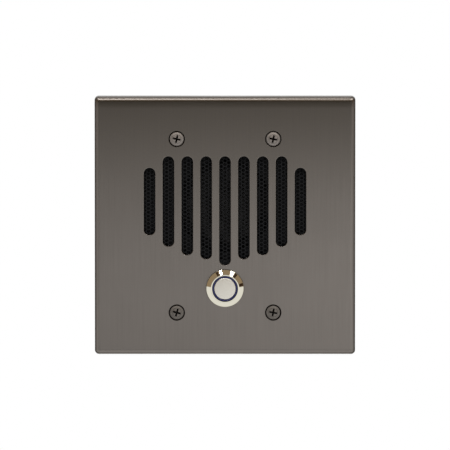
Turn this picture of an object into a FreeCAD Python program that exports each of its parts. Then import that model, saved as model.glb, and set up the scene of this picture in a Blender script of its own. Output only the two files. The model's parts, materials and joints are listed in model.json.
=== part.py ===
import FreeCAD, Part
import math
import os
import re

import Sketcher

# A door intercom speaker for a two-gang wall box: a pressed plate with nine sound slots and a ring-lit push button,
# and behind it a moulded speaker chamber, a small loudspeaker, the button's switch and a terminal board.
# Millimetres. +Z is up, the front faces -Y, and +X is to the right as seen from the front. The origin is the centre
# of the plate on the surface of the wall.

# Each row is a name, its value in millimetres or degrees, and what it measures.
SIZES = [
    ("plate_width", "124.4", "plate, side to side"),
    ("plate_height", "123.8", "plate, top to bottom"),
    ("plate_depth", "6", "wall surface to the plate's front"),
    ("sheet_thickness", "1.5", "plate metal"),
    ("corner_inner_radius", "0.5", "inside radius of the plate's corners, seen from the front"),
    ("bend_inner_radius", "0.9", "inside radius of the bend to the plate's sides"),
    ("slot_width", "5.3", "width of a sound slot"),
    ("slot_pitch", "9", "distance between slots"),
    ("slot_edge_radius", "0.3", "rounded edge of a slot, drawn in by the punch"),
    ("slot_top_gap", "8.36", "upper screws down to the tops of the inner slots"),
    ("outer_slot_step", "5.5", "how much lower the outermost slots start"),
    ("slot_drop_centre", "18.82", "plate centre down to the foot of the middle slot"),
    ("slot_drop_second", "15.9", "the same for the slots beside it"),
    ("slot_drop_third", "13.95", "the same for the next pair"),
    ("slot_drop_fourth", "9.86", "the same for the pair after that"),
    ("slot_drop_outer", "4.33", "the same for the outermost pair"),
    ("box_screw_width", "46.04", "wall screws, side to side"),
    ("box_screw_height", "83.34", "wall screws, top to bottom"),
    ("wall_screw_diameter", "3.5", "shank of a wall screw"),
    ("wall_screw_length", "25.4", "wall screw below its head's edge"),
    ("wall_head_diameter", "6.9", "oval head"),
    ("wall_head_crown", "1.1", "height of the oval above the head's edge"),
    ("wall_hole_diameter", "4.2", "least hole in the plate for a wall screw"),
    ("countersink_diameter", "7.9", "mouth of a countersink"),
    ("countersink_angle", "82", "full angle of the countersink and of the head"),
    ("seat_gap", "0.05", "play between a wall screw's head and its seat"),
    ("recess_span", "3.6", "tip to tip of the cross recess"),
    ("recess_wing", "0.95", "width of a wing of the cross recess"),
    ("recess_depth", "1.7", "depth of the cross recess"),
    ("recess_turn_upper_left", "13", "clockwise turn of the recess as the screw was left"),
    ("recess_turn_upper_right", "12", "the same, upper right"),
    ("recess_turn_lower_left", "16", "the same, lower left"),
    ("recess_turn_lower_right", "11", "the same, lower right"),
    ("wall_gasket_width", "6", "width of the foam frame against the wall"),
    ("edge_play", "0.1", "free space round pieces that drop into a recess"),
    ("mesh_thickness", "0.5", "black mesh and the thin gasket round it"),
    ("mesh_margin", "2.5", "mesh beyond the slots, at the top and sides"),
    ("mesh_side_margin", "4.5", "mesh below the outermost slots"),
    ("mesh_foot_margin", "0.8", "mesh below the middle slot"),
    ("mesh_play", "0.3", "space between the mesh and its gasket"),
    ("baffle_wall", "2", "moulded wall of the chamber and of its flange"),
    ("chamber_depth", "3", "mesh to the chamber's floor"),
    ("chamber_margin", "1.5", "chamber beyond the slots, at the top and sides"),
    ("chamber_side_margin", "5.3", "chamber below the outermost slots"),
    ("chamber_foot_cover", "2.1", "how far the chamber's lower wall covers the middle slot"),
    ("chamber_foot_width", "14", "width of the chamber's foot"),
    ("flange_margin", "4.9", "flange beside the chamber"),
    ("flange_top_margin", "4.1", "flange above the upper studs"),
    ("flange_corner_radius", "1.5", "rounding of the flange's corners"),
    ("screw_clearance", "2.2", "space kept round the wall screws' shanks"),
    ("sound_hole_play", "0.5", "sound hole beyond the mouth of the speaker"),
    ("rib_thickness", "1.4", "ribs on the chamber's back"),
    ("rib_spread", "9", "ribs above and below the speaker's centre"),
    ("stud_diameter", "3", "weld studs, M3"),
    ("stud_length", "8.5", "weld stud from the plate's back"),
    ("stud_foot_diameter", "4", "welded foot of a stud"),
    ("bolt_play", "0.1", "play round an M3 shank in a plain hole"),
    ("thread_play", "0.05", "play round an M3 shank in a threaded hole"),
    ("upper_stud_offset", "34", "upper studs from the plate's centre line"),
    ("upper_stud_clearance", "0.6", "chamber up to the washers on the upper studs"),
    ("lower_stud_offset", "29", "lower studs from the plate's centre line"),
    ("lower_stud_rise", "10.67", "lower screws up to the lower studs"),
    ("leg_outer_margin", "7", "flange beyond a lower stud, outwards"),
    ("leg_inner_margin", "13", "flange beyond a lower stud, inwards"),
    ("leg_foot_margin", "5", "flange below a lower stud"),
    ("leg_slope", "6", "height of the slope from the flange's side to a leg"),
    ("washer_diameter", "7", "M3 washers on the studs"),
    ("washer_thickness", "0.5", "M3 washers on the studs"),
    ("stud_nut_flats", "5.5", "M3 nuts and spacers, across flats"),
    ("stud_nut_height", "2.4", "M3 nuts"),
    ("bezel_gap", "2.11", "middle slot down to the button's bezel"),
    ("bezel_overhang", "1", "flange of the button beyond its barrel"),
    ("bezel_height", "2", "flange of the button"),
    ("bezel_edge", "0.45", "straight edge of the flange"),
    ("bezel_lip", "0.6", "flat lip round the light ring"),
    ("barrel_diameter", "16", "threaded barrel, M16 by 1"),
    ("barrel_length", "16.1", "threaded barrel"),
    ("barrel_wall", "1.85", "wall of the barrel"),
    ("barrel_play", "0.1", "play round the barrel in the plate, the nut and the washer"),
    ("button_gasket_thickness", "0.6", "rubber ring under the bezel"),
    ("button_gasket_margin", "0.25", "bezel beyond the rubber ring"),
    ("button_nut_margin", "1", "flats of the nut beyond the barrel"),
    ("button_nut_height", "3", "M16 nut"),
    ("lock_washer_width", "1.9", "toothed washer, hole to edge"),
    ("lock_washer_thickness", "0.8", "toothed washer"),
    ("nut_clearance", "0.5", "flange above the nut's corners"),
    ("ring_wall", "0.9", "radial width of the light ring"),
    ("ring_length", "3.4", "length of the light ring"),
    ("ring_setback", "0.15", "light ring behind the bezel's lip"),
    ("fit_play", "0.05", "play round pieces that fit in the barrel"),
    ("cap_play", "0.1", "play round the cap"),
    ("cap_setback", "0.1", "cap behind the bezel's lip"),
    ("cap_thickness", "3", "button cap"),
    ("cap_chamfer", "0.2", "edge of the cap"),
    ("button_travel", "1.8", "how far the cap goes in"),
    ("led_height", "0.6", "height of an LED"),
    ("led_length", "1.6", "length of an LED along the ring"),
    ("led_width", "0.75", "width of an LED across the ring"),
    ("led_gap", "0.1", "LEDs to the light ring"),
    ("led_board_thickness", "0.8", "ring-shaped board"),
    ("led_lead_diameter", "0.6", "stiff leads of the ring-shaped board"),
    ("spring_pocket_depth", "3", "pocket for the return spring"),
    ("pocket_wall", "1.1", "housing between the spring's pocket and the leads"),
    ("spring_play", "0.7", "return spring to the wall of its pocket"),
    ("spring_wire", "0.6", "wire of the return spring"),
    ("guide_length", "2.5", "guide of the plunger"),
    ("plunger_play", "0.4", "plunger's guide inside the return spring"),
    ("plunger_collar_lip", "1.1", "collar that stops the plunger at the guide, beyond the stem"),
    ("plunger_collar_height", "1.2", "the same collar"),
    ("plunger_tail", "8", "plunger behind its guide"),
    ("switch_wall", "0.5", "housing between the switch's chamber and the leads"),
    ("housing_tail", "7", "switch housing behind the barrel"),
    ("housing_tail_step", "0.8", "barrel beyond the housing's tail"),
    ("base_plug_depth", "1.5", "switch base inside the housing"),
    ("base_thickness", "2", "switch base behind the housing"),
    ("bridge_play", "0.3", "ends of the moving contact to the chamber's wall"),
    ("bridge_width", "2.6", "moving contact"),
    ("bridge_thickness", "0.5", "moving contact"),
    ("contact_inset", "0.9", "fixed contacts in from the moving contact's ends"),
    ("contact_pin_diameter", "1.2", "fixed contacts and their pins"),
    ("contact_play", "0.05", "moving contact to the fixed ones with the button pressed home"),
    ("pin_play", "0.05", "play round pins in their holes"),
    ("pin_stand_out", "1", "pins beyond the circuit board"),
    ("board_gap", "1", "switch base to the circuit board"),
    ("board_thickness", "1.6", "circuit board"),
    ("board_half_width", "33", "circuit board"),
    ("board_speaker_gap", "1.5", "magnet down to the circuit board"),
    ("board_foot_margin", "4", "circuit board below its screws"),
    ("board_tab_half_width", "12", "tab of the circuit board below the button"),
    ("board_tab_drop", "8", "button's axis down to the end of the tab"),
    ("board_screw_length", "6", "board screws"),
    ("pan_head_diameter", "5.6", "pan heads of the M3 screws"),
    ("pan_head_height", "1.8", "pan heads of the M3 screws"),
    ("speaker_gap", "5.93", "button's barrel up to the speaker's rim"),
    ("speaker_diameter", "50", "rim of the speaker"),
    ("rim_width", "3.2", "rim of the speaker"),
    ("basket_metal", "0.8", "sheet of the speaker's frame"),
    ("mouth_step", "3.2", "depth of the steep part behind the rim"),
    ("ledge_depth", "8.6", "rim down to the spider's ledge"),
    ("ledge_diameter", "30.8", "outside of the spider's ledge"),
    ("ledge_width", "1.6", "spider's ledge"),
    ("basket_depth", "11.7", "rim down to the basket's floor"),
    ("basket_hole_diameter", "15.6", "hole in the basket's floor"),
    ("draft", "0.5", "how much the steep walls of the basket lean in"),
    ("window_angle", "58", "width of a window in the basket"),
    ("window_rim_margin", "1", "window to the basket's mouth"),
    ("window_ledge_margin", "1", "window to the spider's ledge"),
    ("speaker_gasket_thickness", "0.8", "foam ring under the speaker's rim"),
    ("speaker_play", "0.3", "play round the speaker's rim"),
    ("seat_wall", "1.5", "ring that centres the speaker"),
    ("seat_drop", "0.1", "ring and bosses below the rim's back"),
    ("boss_angle", "35", "speaker screws above and below the horizontal"),
    ("boss_offset", "2.7", "speaker screws outside the rim"),
    ("boss_diameter", "6", "bosses for the speaker screws"),
    ("boss_hole_depth", "3", "holes in the bosses"),
    ("clamp_diameter", "8", "washers that hold the rim"),
    ("clamp_thickness", "0.6", "washers that hold the rim"),
    ("surround_thickness", "0.35", "rolled edge of the cone"),
    ("surround_roll_width", "3.4", "the roll, from the cone to the rim"),
    ("surround_roll_height", "1.5", "the roll"),
    ("surround_land", "2", "edge glued on the rim"),
    ("glue_line", "0.05", "space for glue"),
    ("cone_thickness", "0.55", "paper cone"),
    ("cone_neck_depth", "6", "rim down to the cone's neck"),
    ("dust_cap_diameter", "16", "dust cap"),
    ("dust_cap_height", "2.6", "dust cap"),
    ("dust_cap_thickness", "0.35", "dust cap"),
    ("former_bore", "12", "coil former"),
    ("former_wall", "0.25", "coil former"),
    ("former_lead", "0.8", "coil former in front of the cone's neck"),
    ("winding_thickness", "0.45", "coil winding"),
    ("winding_length", "3.8", "coil winding"),
    ("winding_tail", "0.3", "coil former behind the winding"),
    ("spider_thickness", "0.25", "spider"),
    ("spider_wave", "0.45", "height of the spider's waves"),
    ("spider_land", "1", "edge glued on the ledge"),
    ("front_plate_thickness", "2.5", "steel washer at the front of the magnet"),
    ("front_plate_diameter", "30", "the same washer"),
    ("coil_gap", "0.4", "winding to the front plate"),
    ("pole_gap", "0.3", "pole piece to the coil former"),
    ("pole_setback", "0.2", "pole piece in front of the basket's back"),
    ("magnet_diameter", "32", "ferrite ring"),
    ("magnet_bore", "18", "ferrite ring"),
    ("magnet_height", "7", "ferrite ring"),
    ("back_plate_diameter", "30", "steel plate behind the magnet"),
    ("back_plate_thickness", "2.5", "the same plate"),
    ("plate_chamfer", "0.5", "edges of the steel plates"),
    ("tab_width", "10", "tab of the basket"),
    ("tab_reach", "22.5", "speaker's axis to the end of the tab"),
    ("strip_width", "16", "tag strip"),
    ("strip_height", "7", "tag strip"),
    ("strip_thickness", "1", "tag strip"),
    ("strip_overhang", "0.9", "tag strip below the tab"),
    ("rivet_diameter", "1.9", "rivet of the tag strip"),
    ("rivet_head_diameter", "3.2", "the same rivet"),
    ("rivet_head_height", "0.35", "the same rivet"),
    ("rivet_drop", "19", "speaker's axis to the rivet"),
    ("tag_drop", "19.5", "speaker's axis to the tags"),
    ("tag_foot", "3.5", "foot of a tag"),
    ("tag_thickness", "0.5", "metal of a tag"),
    ("tag_width", "2.4", "width of a tag"),
    ("tag_offset", "5.2", "tags from the speaker's axis"),
    ("terminal_pitch", "5", "terminals"),
    ("terminal_end", "0.6", "end walls of the terminal block"),
    ("terminal_height", "10", "terminal block, out from the board"),
    ("terminal_shoulder", "6.2", "height of the terminal block's wire side"),
    ("terminal_width", "8.4", "terminal block, along the board"),
    ("terminal_slope", "2.4", "width of the sloping shoulder"),
    ("terminal_drop", "5.5", "board's top edge down to the terminal block"),
    ("terminal_screw_rise", "3.4", "terminal screws from the block's upper side"),
    ("well_diameter", "4", "screw wells of the terminal block"),
    ("wire_entry_width", "3.9", "wire entries of the terminal block"),
    ("wire_entry_height", "4.2", "wire entries of the terminal block"),
    ("wire_entry_lift", "1", "wire entries above the board"),
    ("wire_entry_depth", "7.2", "wire entries of the terminal block"),
    ("clamp_wall", "0.6", "metal of a cage clamp"),
    ("clamp_length", "4.4", "cage clamp along the wire"),
    ("terminal_head_diameter", "3.6", "terminal screws"),
    ("terminal_head_height", "1.6", "terminal screws"),
    ("terminal_shank_diameter", "2.4", "terminal screws"),
    ("terminal_screw_sink", "1.4", "terminal screws below the block's top"),
    ("terminal_pin_diameter", "0.9", "terminal pins"),
    ("lead_diameter", "0.6", "wire legs of the small components"),
    ("lead_span", "10.16", "distance between the legs of a resistor or diode"),
    ("lead_bend", "0.9", "bend of a leg, on its centre line"),
    ("component_lift", "0.4", "resistors and diode above the board"),
    ("component_drop", "11.5", "board's top edge down to the row of small components"),
    ("resistor_diameter", "2.4", "resistor"),
    ("resistor_length", "6.3", "resistor"),
    ("component_gap", "2.1", "terminal block to the axis of the first resistor"),
    ("component_pitch", "3.45", "axis to axis of the resistors and the diode"),
    ("diode_diameter", "2.7", "diode"),
    ("diode_length", "5.2", "diode"),
    ("capacitor_gap", "2", "terminal block to the capacitor"),
    ("capacitor_diameter", "8", "capacitor"),
    ("capacitor_height", "11", "capacitor"),
    ("capacitor_pitch", "3.5", "distance between the capacitor's legs"),
]

# Places that follow from the sizes. A depth is a Y value, and a height is a Z value.
PLACES = [
    ("sheet_back", "sheet_thickness - plate_depth", "back of the plate's face"),
    ("field_half_width", "4 * slot_pitch + slot_width / 2", "edge of the outermost slot"),
    ("slot_top", "box_screw_height / 2 - slot_top_gap", "top of the inner slots"),
    ("head_edge", "(countersink_diameter / 2 - wall_head_diameter / 2 - seat_gap) / tan(countersink_angle / 2)"
     " - plate_depth", "edge of a wall screw's head"),
    ("mesh_back", "sheet_back + mesh_thickness", "back of the mesh"),
    ("flange_back", "mesh_back + baffle_wall", "back of the baffle's flange"),
    ("chamber_floor", "mesh_back + chamber_depth", "front of the chamber's floor"),
    ("baffle_back", "chamber_floor + baffle_wall", "back of the chamber's floor"),
    ("chamber_half_width", "field_half_width + chamber_margin", "inside of the chamber"),
    ("chamber_top", "slot_top + chamber_margin", "inside of the chamber"),
    ("chamber_shoulder", "-(slot_drop_outer + chamber_side_margin)", "inside of the chamber, at its sides"),
    ("chamber_foot", "chamber_foot_cover - slot_drop_centre", "inside of the chamber, at its foot"),
    ("flange_half_width", "chamber_half_width + baffle_wall + flange_margin", "side of the flange"),
    ("upper_stud_height", "chamber_top + baffle_wall + upper_stud_clearance + washer_diameter / 2", "upper studs"),
    ("flange_top", "upper_stud_height + flange_top_margin", "top of the flange"),
    ("lower_stud_height", "lower_stud_rise - box_screw_height / 2", "lower studs"),
    ("washer_back", "flange_back + washer_thickness", "back of the stud washers"),
    ("bezel_radius", "barrel_diameter / 2 + bezel_overhang", "edge of the bezel"),
    ("button_height", "-(slot_drop_centre + bezel_gap + bezel_radius)", "axis of the button"),
    ("bezel_back", "-(plate_depth + button_gasket_thickness)", "back of the bezel's flange"),
    ("bezel_front", "bezel_back - bezel_height", "front of the bezel"),
    ("barrel_end", "bezel_back + barrel_length", "end of the barrel"),
    ("lock_washer_back", "sheet_back + lock_washer_thickness", "back of the toothed washer"),
    ("bore_radius", "barrel_diameter / 2 - barrel_wall", "bore of the barrel"),
    ("button_nut_flats", "barrel_diameter + button_nut_margin * 2", "nut, across flats"),
    ("ring_radius", "bore_radius - fit_play", "outside of the light ring"),
    ("cap_radius", "ring_radius - ring_wall - cap_play", "outside of the cap"),
    ("cap_front", "bezel_front + cap_setback", "front of the cap"),
    ("cap_back", "cap_front + cap_thickness", "back of the cap"),
    ("ring_front", "bezel_front + ring_setback", "front of the light ring"),
    ("ring_back", "ring_front + ring_length", "back of the light ring"),
    ("led_board_front", "ring_back + led_gap + led_height", "front of the ring-shaped board"),
    ("housing_front", "led_board_front + led_board_thickness", "front of the switch housing"),
    ("led_circle", "(ring_radius + cap_radius + cap_play) / 2", "circle of the LEDs and their leads"),
    ("lead_inside", "led_circle - led_lead_diameter / 2 - pin_play", "inside of the holes for the stiff leads"),
    ("pocket_radius", "lead_inside - pocket_wall", "pocket for the return spring"),
    ("spring_radius", "pocket_radius - spring_play", "outside of the return spring"),
    ("guide_radius", "spring_radius - spring_wire - plunger_play", "guide of the plunger"),
    ("switch_radius", "lead_inside - switch_wall", "chamber of the switch"),
    ("bridge_half_length", "switch_radius - bridge_play", "ends of the moving contact"),
    ("contact_offset", "bridge_half_length - contact_inset", "fixed contacts from the button's axis"),
    ("tail_radius", "barrel_diameter / 2 - housing_tail_step", "switch housing behind the barrel"),
    ("spring_seat", "housing_front + spring_pocket_depth", "where the return spring rests"),
    ("guide_back", "spring_seat + guide_length", "back of the plunger's guide"),
    ("bridge_front", "guide_back + plunger_tail", "front of the moving contact"),
    ("contact_tip", "bridge_front + bridge_thickness + button_travel + contact_play", "tips of the contacts"),
    ("housing_back", "barrel_end + housing_tail", "back of the switch housing"),
    ("base_back", "housing_back + base_thickness", "back of the switch base"),
    ("board_front", "base_back + board_gap", "front of the circuit board"),
    ("board_back", "board_front + board_thickness", "back of the circuit board"),
    ("notch_top", "button_height + button_nut_flats / sqrt(3) + nut_clearance", "flange above the nut"),
    ("speaker_height", "button_height + barrel_diameter / 2 + speaker_gap + speaker_diameter / 2",
     "axis of the speaker"),
    ("rim_radius", "speaker_diameter / 2", "outside of the speaker's rim"),
    ("mouth_radius", "rim_radius - rim_width", "inside of the speaker's rim"),
    ("rim_front", "baffle_back + speaker_gasket_thickness", "front of the speaker's rim"),
    ("seat_top", "rim_front + basket_metal - seat_drop", "top of the centring ring and of the bosses"),
    ("boss_circle", "rim_radius + boss_offset", "circle of the speaker screws"),
    ("motor_front", "basket_depth + basket_metal", "front plate, counted from the rim"),
    ("magnet_front", "motor_front + front_plate_thickness", "magnet, counted from the rim"),
    ("magnet_back", "magnet_front + magnet_height", "the same"),
    ("former_radius", "former_bore / 2 + former_wall", "outside of the coil former"),
    ("winding_radius", "former_radius + winding_thickness", "outside of the winding"),
    ("winding_front", "motor_front + (front_plate_thickness - winding_length) / 2", "counted from the rim"),
    ("cone_edge", "mouth_radius - surround_roll_width - glue_line", "outer edge of the cone"),
    ("cone_slope", "(cone_neck_depth + glue_line) / (cone_edge - former_radius - glue_line)", "fall of the cone"),
    ("board_top", "speaker_height - magnet_diameter / 2 - board_speaker_gap", "top edge of the circuit board"),
    ("board_foot", "lower_stud_height - board_foot_margin", "lower edge of the circuit board"),
    ("terminal_top", "board_top - terminal_drop", "upper side of the terminal block"),
    ("terminal_foot", "terminal_top - terminal_width", "wire side of the terminal block"),
    ("terminal_back", "board_back + terminal_height", "top of the terminal block"),
    ("terminal_row", "terminal_top - terminal_screw_rise", "row of terminal screws"),
    ("tag_height", "speaker_height - tag_drop", "tags in the circuit board"),
    ("component_row", "board_top - component_drop", "row of small components"),
]

TERMINAL_COUNT = 6
LED_COUNT = 4
RESISTOR_COUNT = 2
WINDOW_COUNT = 4
SPIDER_WAVES = 4
ROLL_FACES = 6

doc = FreeCAD.newDocument("DoorIntercomSpeaker")
sizes = doc.addObject("Spreadsheet::Sheet", "Sizes")
places = doc.addObject("Spreadsheet::Sheet", "Places")
sheet_of = {name: "Sizes" for name, _, _ in SIZES}
sheet_of.update({name: "Places" for name, _, _ in PLACES})
nodes = []


def formula(text):
    """Puts the sheet's name before every name of a size or place in a formula."""
    return re.sub(r"[a-z][a-z_]+", lambda m: f"{sheet_of[m[0]]}.{m[0]}" if m[0] in sheet_of else m[0], text)


def value(text):
    """Works a formula out with the sizes as they stand."""
    return float(sizes.evalExpression(formula(text)))


def fill_sheets():
    """Writes the sizes as plain numbers and the places as formulas, each with its name and what it measures."""
    for row, (name, number, meaning) in enumerate(SIZES, 1):
        sizes.set(f"A{row}", meaning)
        sizes.set(f"B{row}", number)
        sizes.setAlias(f"B{row}", name)
    doc.recompute()
    for row, (name, text, meaning) in enumerate(PLACES, 1):
        places.set(f"A{row}", meaning)
        places.set(f"B{row}", "=" + formula(text).replace("Places.", ""))
        places.setAlias(f"B{row}", name)
    doc.recompute()


def bind(thing, **settings):
    """Ties properties of an object to formulas."""
    for name, text in settings.items():
        thing.setExpression(name.replace("__", "."), formula(text))
    return thing


def put(thing, x="0", y="0", z="0"):
    """Ties an object's place to formulas."""
    return bind(thing, Placement__Base__x=x, Placement__Base__y=y, Placement__Base__z=z)


def new_body(label, x="0", y="0", z="0"):
    """Starts a piece that is made of sketches and features."""
    body = doc.addObject("PartDesign::Body", label)
    body.Label = label
    return put(body, x, y, z)


def new_sketch(body, name, role, level="0"):
    """Puts a sketch on one of the body's own planes, moved to a level along Y, Z or X."""
    sketch = body.newObject("Sketcher::SketchObject", f"{body.Name}_{name}")
    plane = next(feature for feature in body.Origin.OriginFeatures if feature.Role == role)
    sketch.AttachmentSupport = [(plane, "")]
    sketch.MapMode = "FlatFace"
    # The XZ plane looks along -Y, so a sketch on it moves back by a negative offset.
    bind(sketch, AttachmentOffset__Base__z=f"-({level})" if role == "XZ_Plane" else level)
    return sketch


def fix_point(sketch, geometry, which, x, y):
    """Holds a point of a sketch at a place given by two formulas."""
    for kind, text in (("DistanceX", x), ("DistanceY", y)):
        number = sketch.addConstraint(Sketcher.Constraint(kind, -1, 1, geometry, which, value(text)))
        sketch.setExpression(f"Constraints[{number}]", formula(text))


def draw_outline(sketch, corners):
    """Draws a closed outline through corners (x, y).

    A corner with a third item starts an arc: "axis" for one centred on the sketch's vertical axis, or a point
    (x, y) that the arc passes through.
    """
    spots = [FreeCAD.Vector(value(corner[0]), value(corner[1]), 0) for corner in corners]
    ends = []
    for index, corner in enumerate(corners):
        here, there = spots[index], spots[(index + 1) % len(spots)]
        if len(corner) == 2:
            ends.append((sketch.addGeometry(Part.LineSegment(here, there), False), 1, 2))
            continue
        if corner[2] == "axis":
            centre = (there.dot(there) - here.dot(here)) / (2 * (there.y - here.y))
            radius = math.hypot(here.x, here.y - centre)
            lean = math.atan2(here.x, here.y - centre) / 2 + math.atan2(there.x, there.y - centre) / 2
            via = FreeCAD.Vector(radius * math.sin(lean), centre + radius * math.cos(lean), 0)
        else:
            via = FreeCAD.Vector(value(corner[2][0]), value(corner[2][1]), 0)
        clockwise = (via - here).cross(there - via).z < 0
        arc = Part.Arc(there, via, here) if clockwise else Part.Arc(here, via, there)
        number = sketch.addGeometry(arc, False)
        ends.append((number, 2, 1) if clockwise else (number, 1, 2))
        if corner[2] == "axis":
            sketch.addConstraint(Sketcher.Constraint("PointOnObject", number, 3, -2))
        else:
            point = sketch.addGeometry(Part.Point(via), True)
            sketch.addConstraint(Sketcher.Constraint("PointOnObject", point, 1, number))
            fix_point(sketch, point, 1, *corner[2])
    for index, (number, _, end) in enumerate(ends):
        follower, start, _ = ends[(index + 1) % len(ends)]
        sketch.addConstraint(Sketcher.Constraint("Coincident", number, end, follower, start))
    for corner, (number, start, _) in zip(corners, ends):
        fix_point(sketch, number, start, corner[0], corner[1])


def draw_circle(sketch, x, y, radius):
    """Draws a circle from three formulas."""
    centre = FreeCAD.Vector(value(x), value(y), 0)
    number = sketch.addGeometry(Part.Circle(centre, FreeCAD.Vector(0, 0, 1), value(radius)), False)
    fix_point(sketch, number, 3, x, y)
    constraint = sketch.addConstraint(Sketcher.Constraint("Radius", number, value(radius)))
    sketch.setExpression(f"Constraints[{constraint}]", formula(radius))


def rectangle(left, right, low, high):
    """The corners of a rectangle."""
    return [(left, low), (right, low), (right, high), (left, high)]


def mirrored(right_side):
    """Corners of an outline that is the same left and right, from those on the right, listed top to bottom."""
    return right_side + [(f"-({x})", y) for x, y in reversed(right_side)]


def hexagon(flats):
    """Corners of a hexagon with two flats level."""
    wide, narrow = f"{flats} / sqrt(3)", f"{flats} / sqrt(12)"
    top = f"{flats} / 2"
    return [(wide, "0"), (narrow, top), (f"-{narrow}", top), (f"-{wide}", "0"), (f"-{narrow}", f"-{top}"),
            (narrow, f"-{top}")]


def feature(body, kind, sketch, **settings):
    """Adds a sketched feature and checks that it changed the solid."""
    before = body.Shape.Volume if body.Tip else 0
    made = body.newObject(f"PartDesign::{kind}", f"{sketch.Name}_{kind.lower()}")
    made.Profile = sketch
    if "along" in settings:
        made.ReferenceAxis = (sketch, [settings.pop("along")])
    for name in [key for key, setting in settings.items() if not isinstance(setting, str)]:
        setattr(made, name, settings.pop(name))
    bind(made, **settings)
    doc.recompute()
    if abs(body.Shape.Volume - before) < 1e-6 or {"Invalid", "Error"} & set(made.State):
        raise ValueError(f"{made.Name} changes nothing: {made.State}")
    return made


def edges(body, test):
    """Names of the edges of a body's last feature whose two ends both pass a test."""
    shape = body.Tip.Shape
    return [f"Edge{number}" for number, edge in enumerate(shape.Edges, 1)
            if len(edge.Vertexes) == 2 and all(test(vertex.Point) for vertex in edge.Vertexes)]


def dress(body, kind, names, **settings):
    """Adds a fillet or chamfer to named edges."""
    base = body.Tip
    made = body.newObject(f"PartDesign::{kind}", f"{body.Name}_{kind.lower()}")
    made.Base = (base, names)
    bind(made, **settings)
    body.Tip = made
    doc.recompute()
    if {"Invalid", "Error"} & set(made.State):
        raise ValueError(f"{made.Name} failed: {made.State}")
    return made


def turned(label, corners, x="0", y="0", z="0"):
    """A piece turned about its own Y axis, from corners (radius, depth)."""
    body = new_body(label, x, y, z)
    sketch = new_sketch(body, "profile", "XY_Plane")
    draw_outline(sketch, corners)
    feature(body, "Revolution", sketch, along="V_Axis", Angle=360)
    return body


def tube(label, inner, outer, front, back, x="0", y="0", z="0"):
    """A plain turned ring or sleeve."""
    return turned(label, rectangle(inner, outer, front, back), x, y, z)


def slab(label, outlines, front, thickness, x="0", z="0"):
    """A piece cut from flat stock that lies parallel to the plate."""
    body = new_body(label, x, "0", z)
    sketch = new_sketch(body, "outline", "XZ_Plane", front)
    for outline in outlines:
        draw_outline(sketch, outline)
    feature(body, "Pad", sketch, Length=thickness, Reversed=True)
    return body


def drill(body, name, holes, level, depth, backwards=True):
    """Sinks round holes (x, z, radius) from a level to a depth, back into the piece or forwards."""
    sketch = new_sketch(body, name, "XZ_Plane", level)
    for x, z, radius in holes:
        draw_circle(sketch, x, z, radius)
    return feature(body, "Pocket", sketch, Length=depth, Reversed=not backwards)


def repeated(label, piece, spots, turn_about_y=None):
    """Several copies of one piece in one node, at spots (x, z), each with its own turn where turns are given."""
    copies = []
    for number, (x, z) in enumerate(spots):
        copy = doc.addObject("App::Link", f"{label}_{number + 1}")
        copy.LinkedObject = piece
        put(copy, x, "0", z)
        if turn_about_y:
            copy.Placement.Rotation.Axis = FreeCAD.Vector(0, 1, 0)
            copy.setExpression("Placement.Rotation.Axis.y", "1")
            copy.setExpression("Placement.Rotation.Angle", formula(turn_about_y[number]))
        copies.append(copy)
    group = doc.addObject("Part::Compound", label)
    group.Label = label
    group.Links = copies
    return group


def keep(*pieces):
    """Lists finished pieces, each of which is written to a file of its own name."""
    nodes.extend(pieces)


def both_sides(x, z):
    """A spot and its mirror image."""
    return [(x, z), (f"-({x})", z)]


def slot_outline(place, top, foot):
    """A slot with round ends, centred on a line at x = place."""
    left, right = f"{place} - slot_width / 2", f"{place} + slot_width / 2"
    return [(left, f"{foot} + slot_width / 2"), (left, f"{top} - slot_width / 2", (place, top)),
            (right, f"{top} - slot_width / 2"), (right, f"{foot} + slot_width / 2", (place, foot))]


WALL_SCREW_SPOTS = [("-box_screw_width / 2", "box_screw_height / 2"), ("box_screw_width / 2", "box_screw_height / 2"),
                    ("-box_screw_width / 2", "-box_screw_height / 2"),
                    ("box_screw_width / 2", "-box_screw_height / 2")]
UPPER_STUDS = both_sides("upper_stud_offset", "upper_stud_height")
LOWER_STUDS = both_sides("lower_stud_offset", "lower_stud_height")
STUDS = UPPER_STUDS + LOWER_STUDS
BOSSES = [(f"boss_circle * cos(boss_angle) * {side}", f"speaker_height + boss_circle * sin(boss_angle) * {rise}")
          for rise in (1, -1) for side in (1, -1)]
TERMINALS = [(f"terminal_pitch * {index - (TERMINAL_COUNT - 1) / 2}", "terminal_row")
             for index in range(TERMINAL_COUNT)]
BLOCK_HALF_LENGTH = f"(terminal_pitch * {TERMINAL_COUNT} / 2 + terminal_end)"
RESISTORS = [f"{BLOCK_HALF_LENGTH} + component_gap + component_pitch * {index}" for index in range(RESISTOR_COUNT)]
DIODE = f"{BLOCK_HALF_LENGTH} + component_gap + component_pitch * {RESISTOR_COUNT}"
CAPACITOR = f"-({BLOCK_HALF_LENGTH} + capacitor_gap + capacitor_diameter / 2)"
CAPACITOR_LEGS = [f"{CAPACITOR} + capacitor_pitch * {side}" for side in (-0.5, 0.5)]


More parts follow.
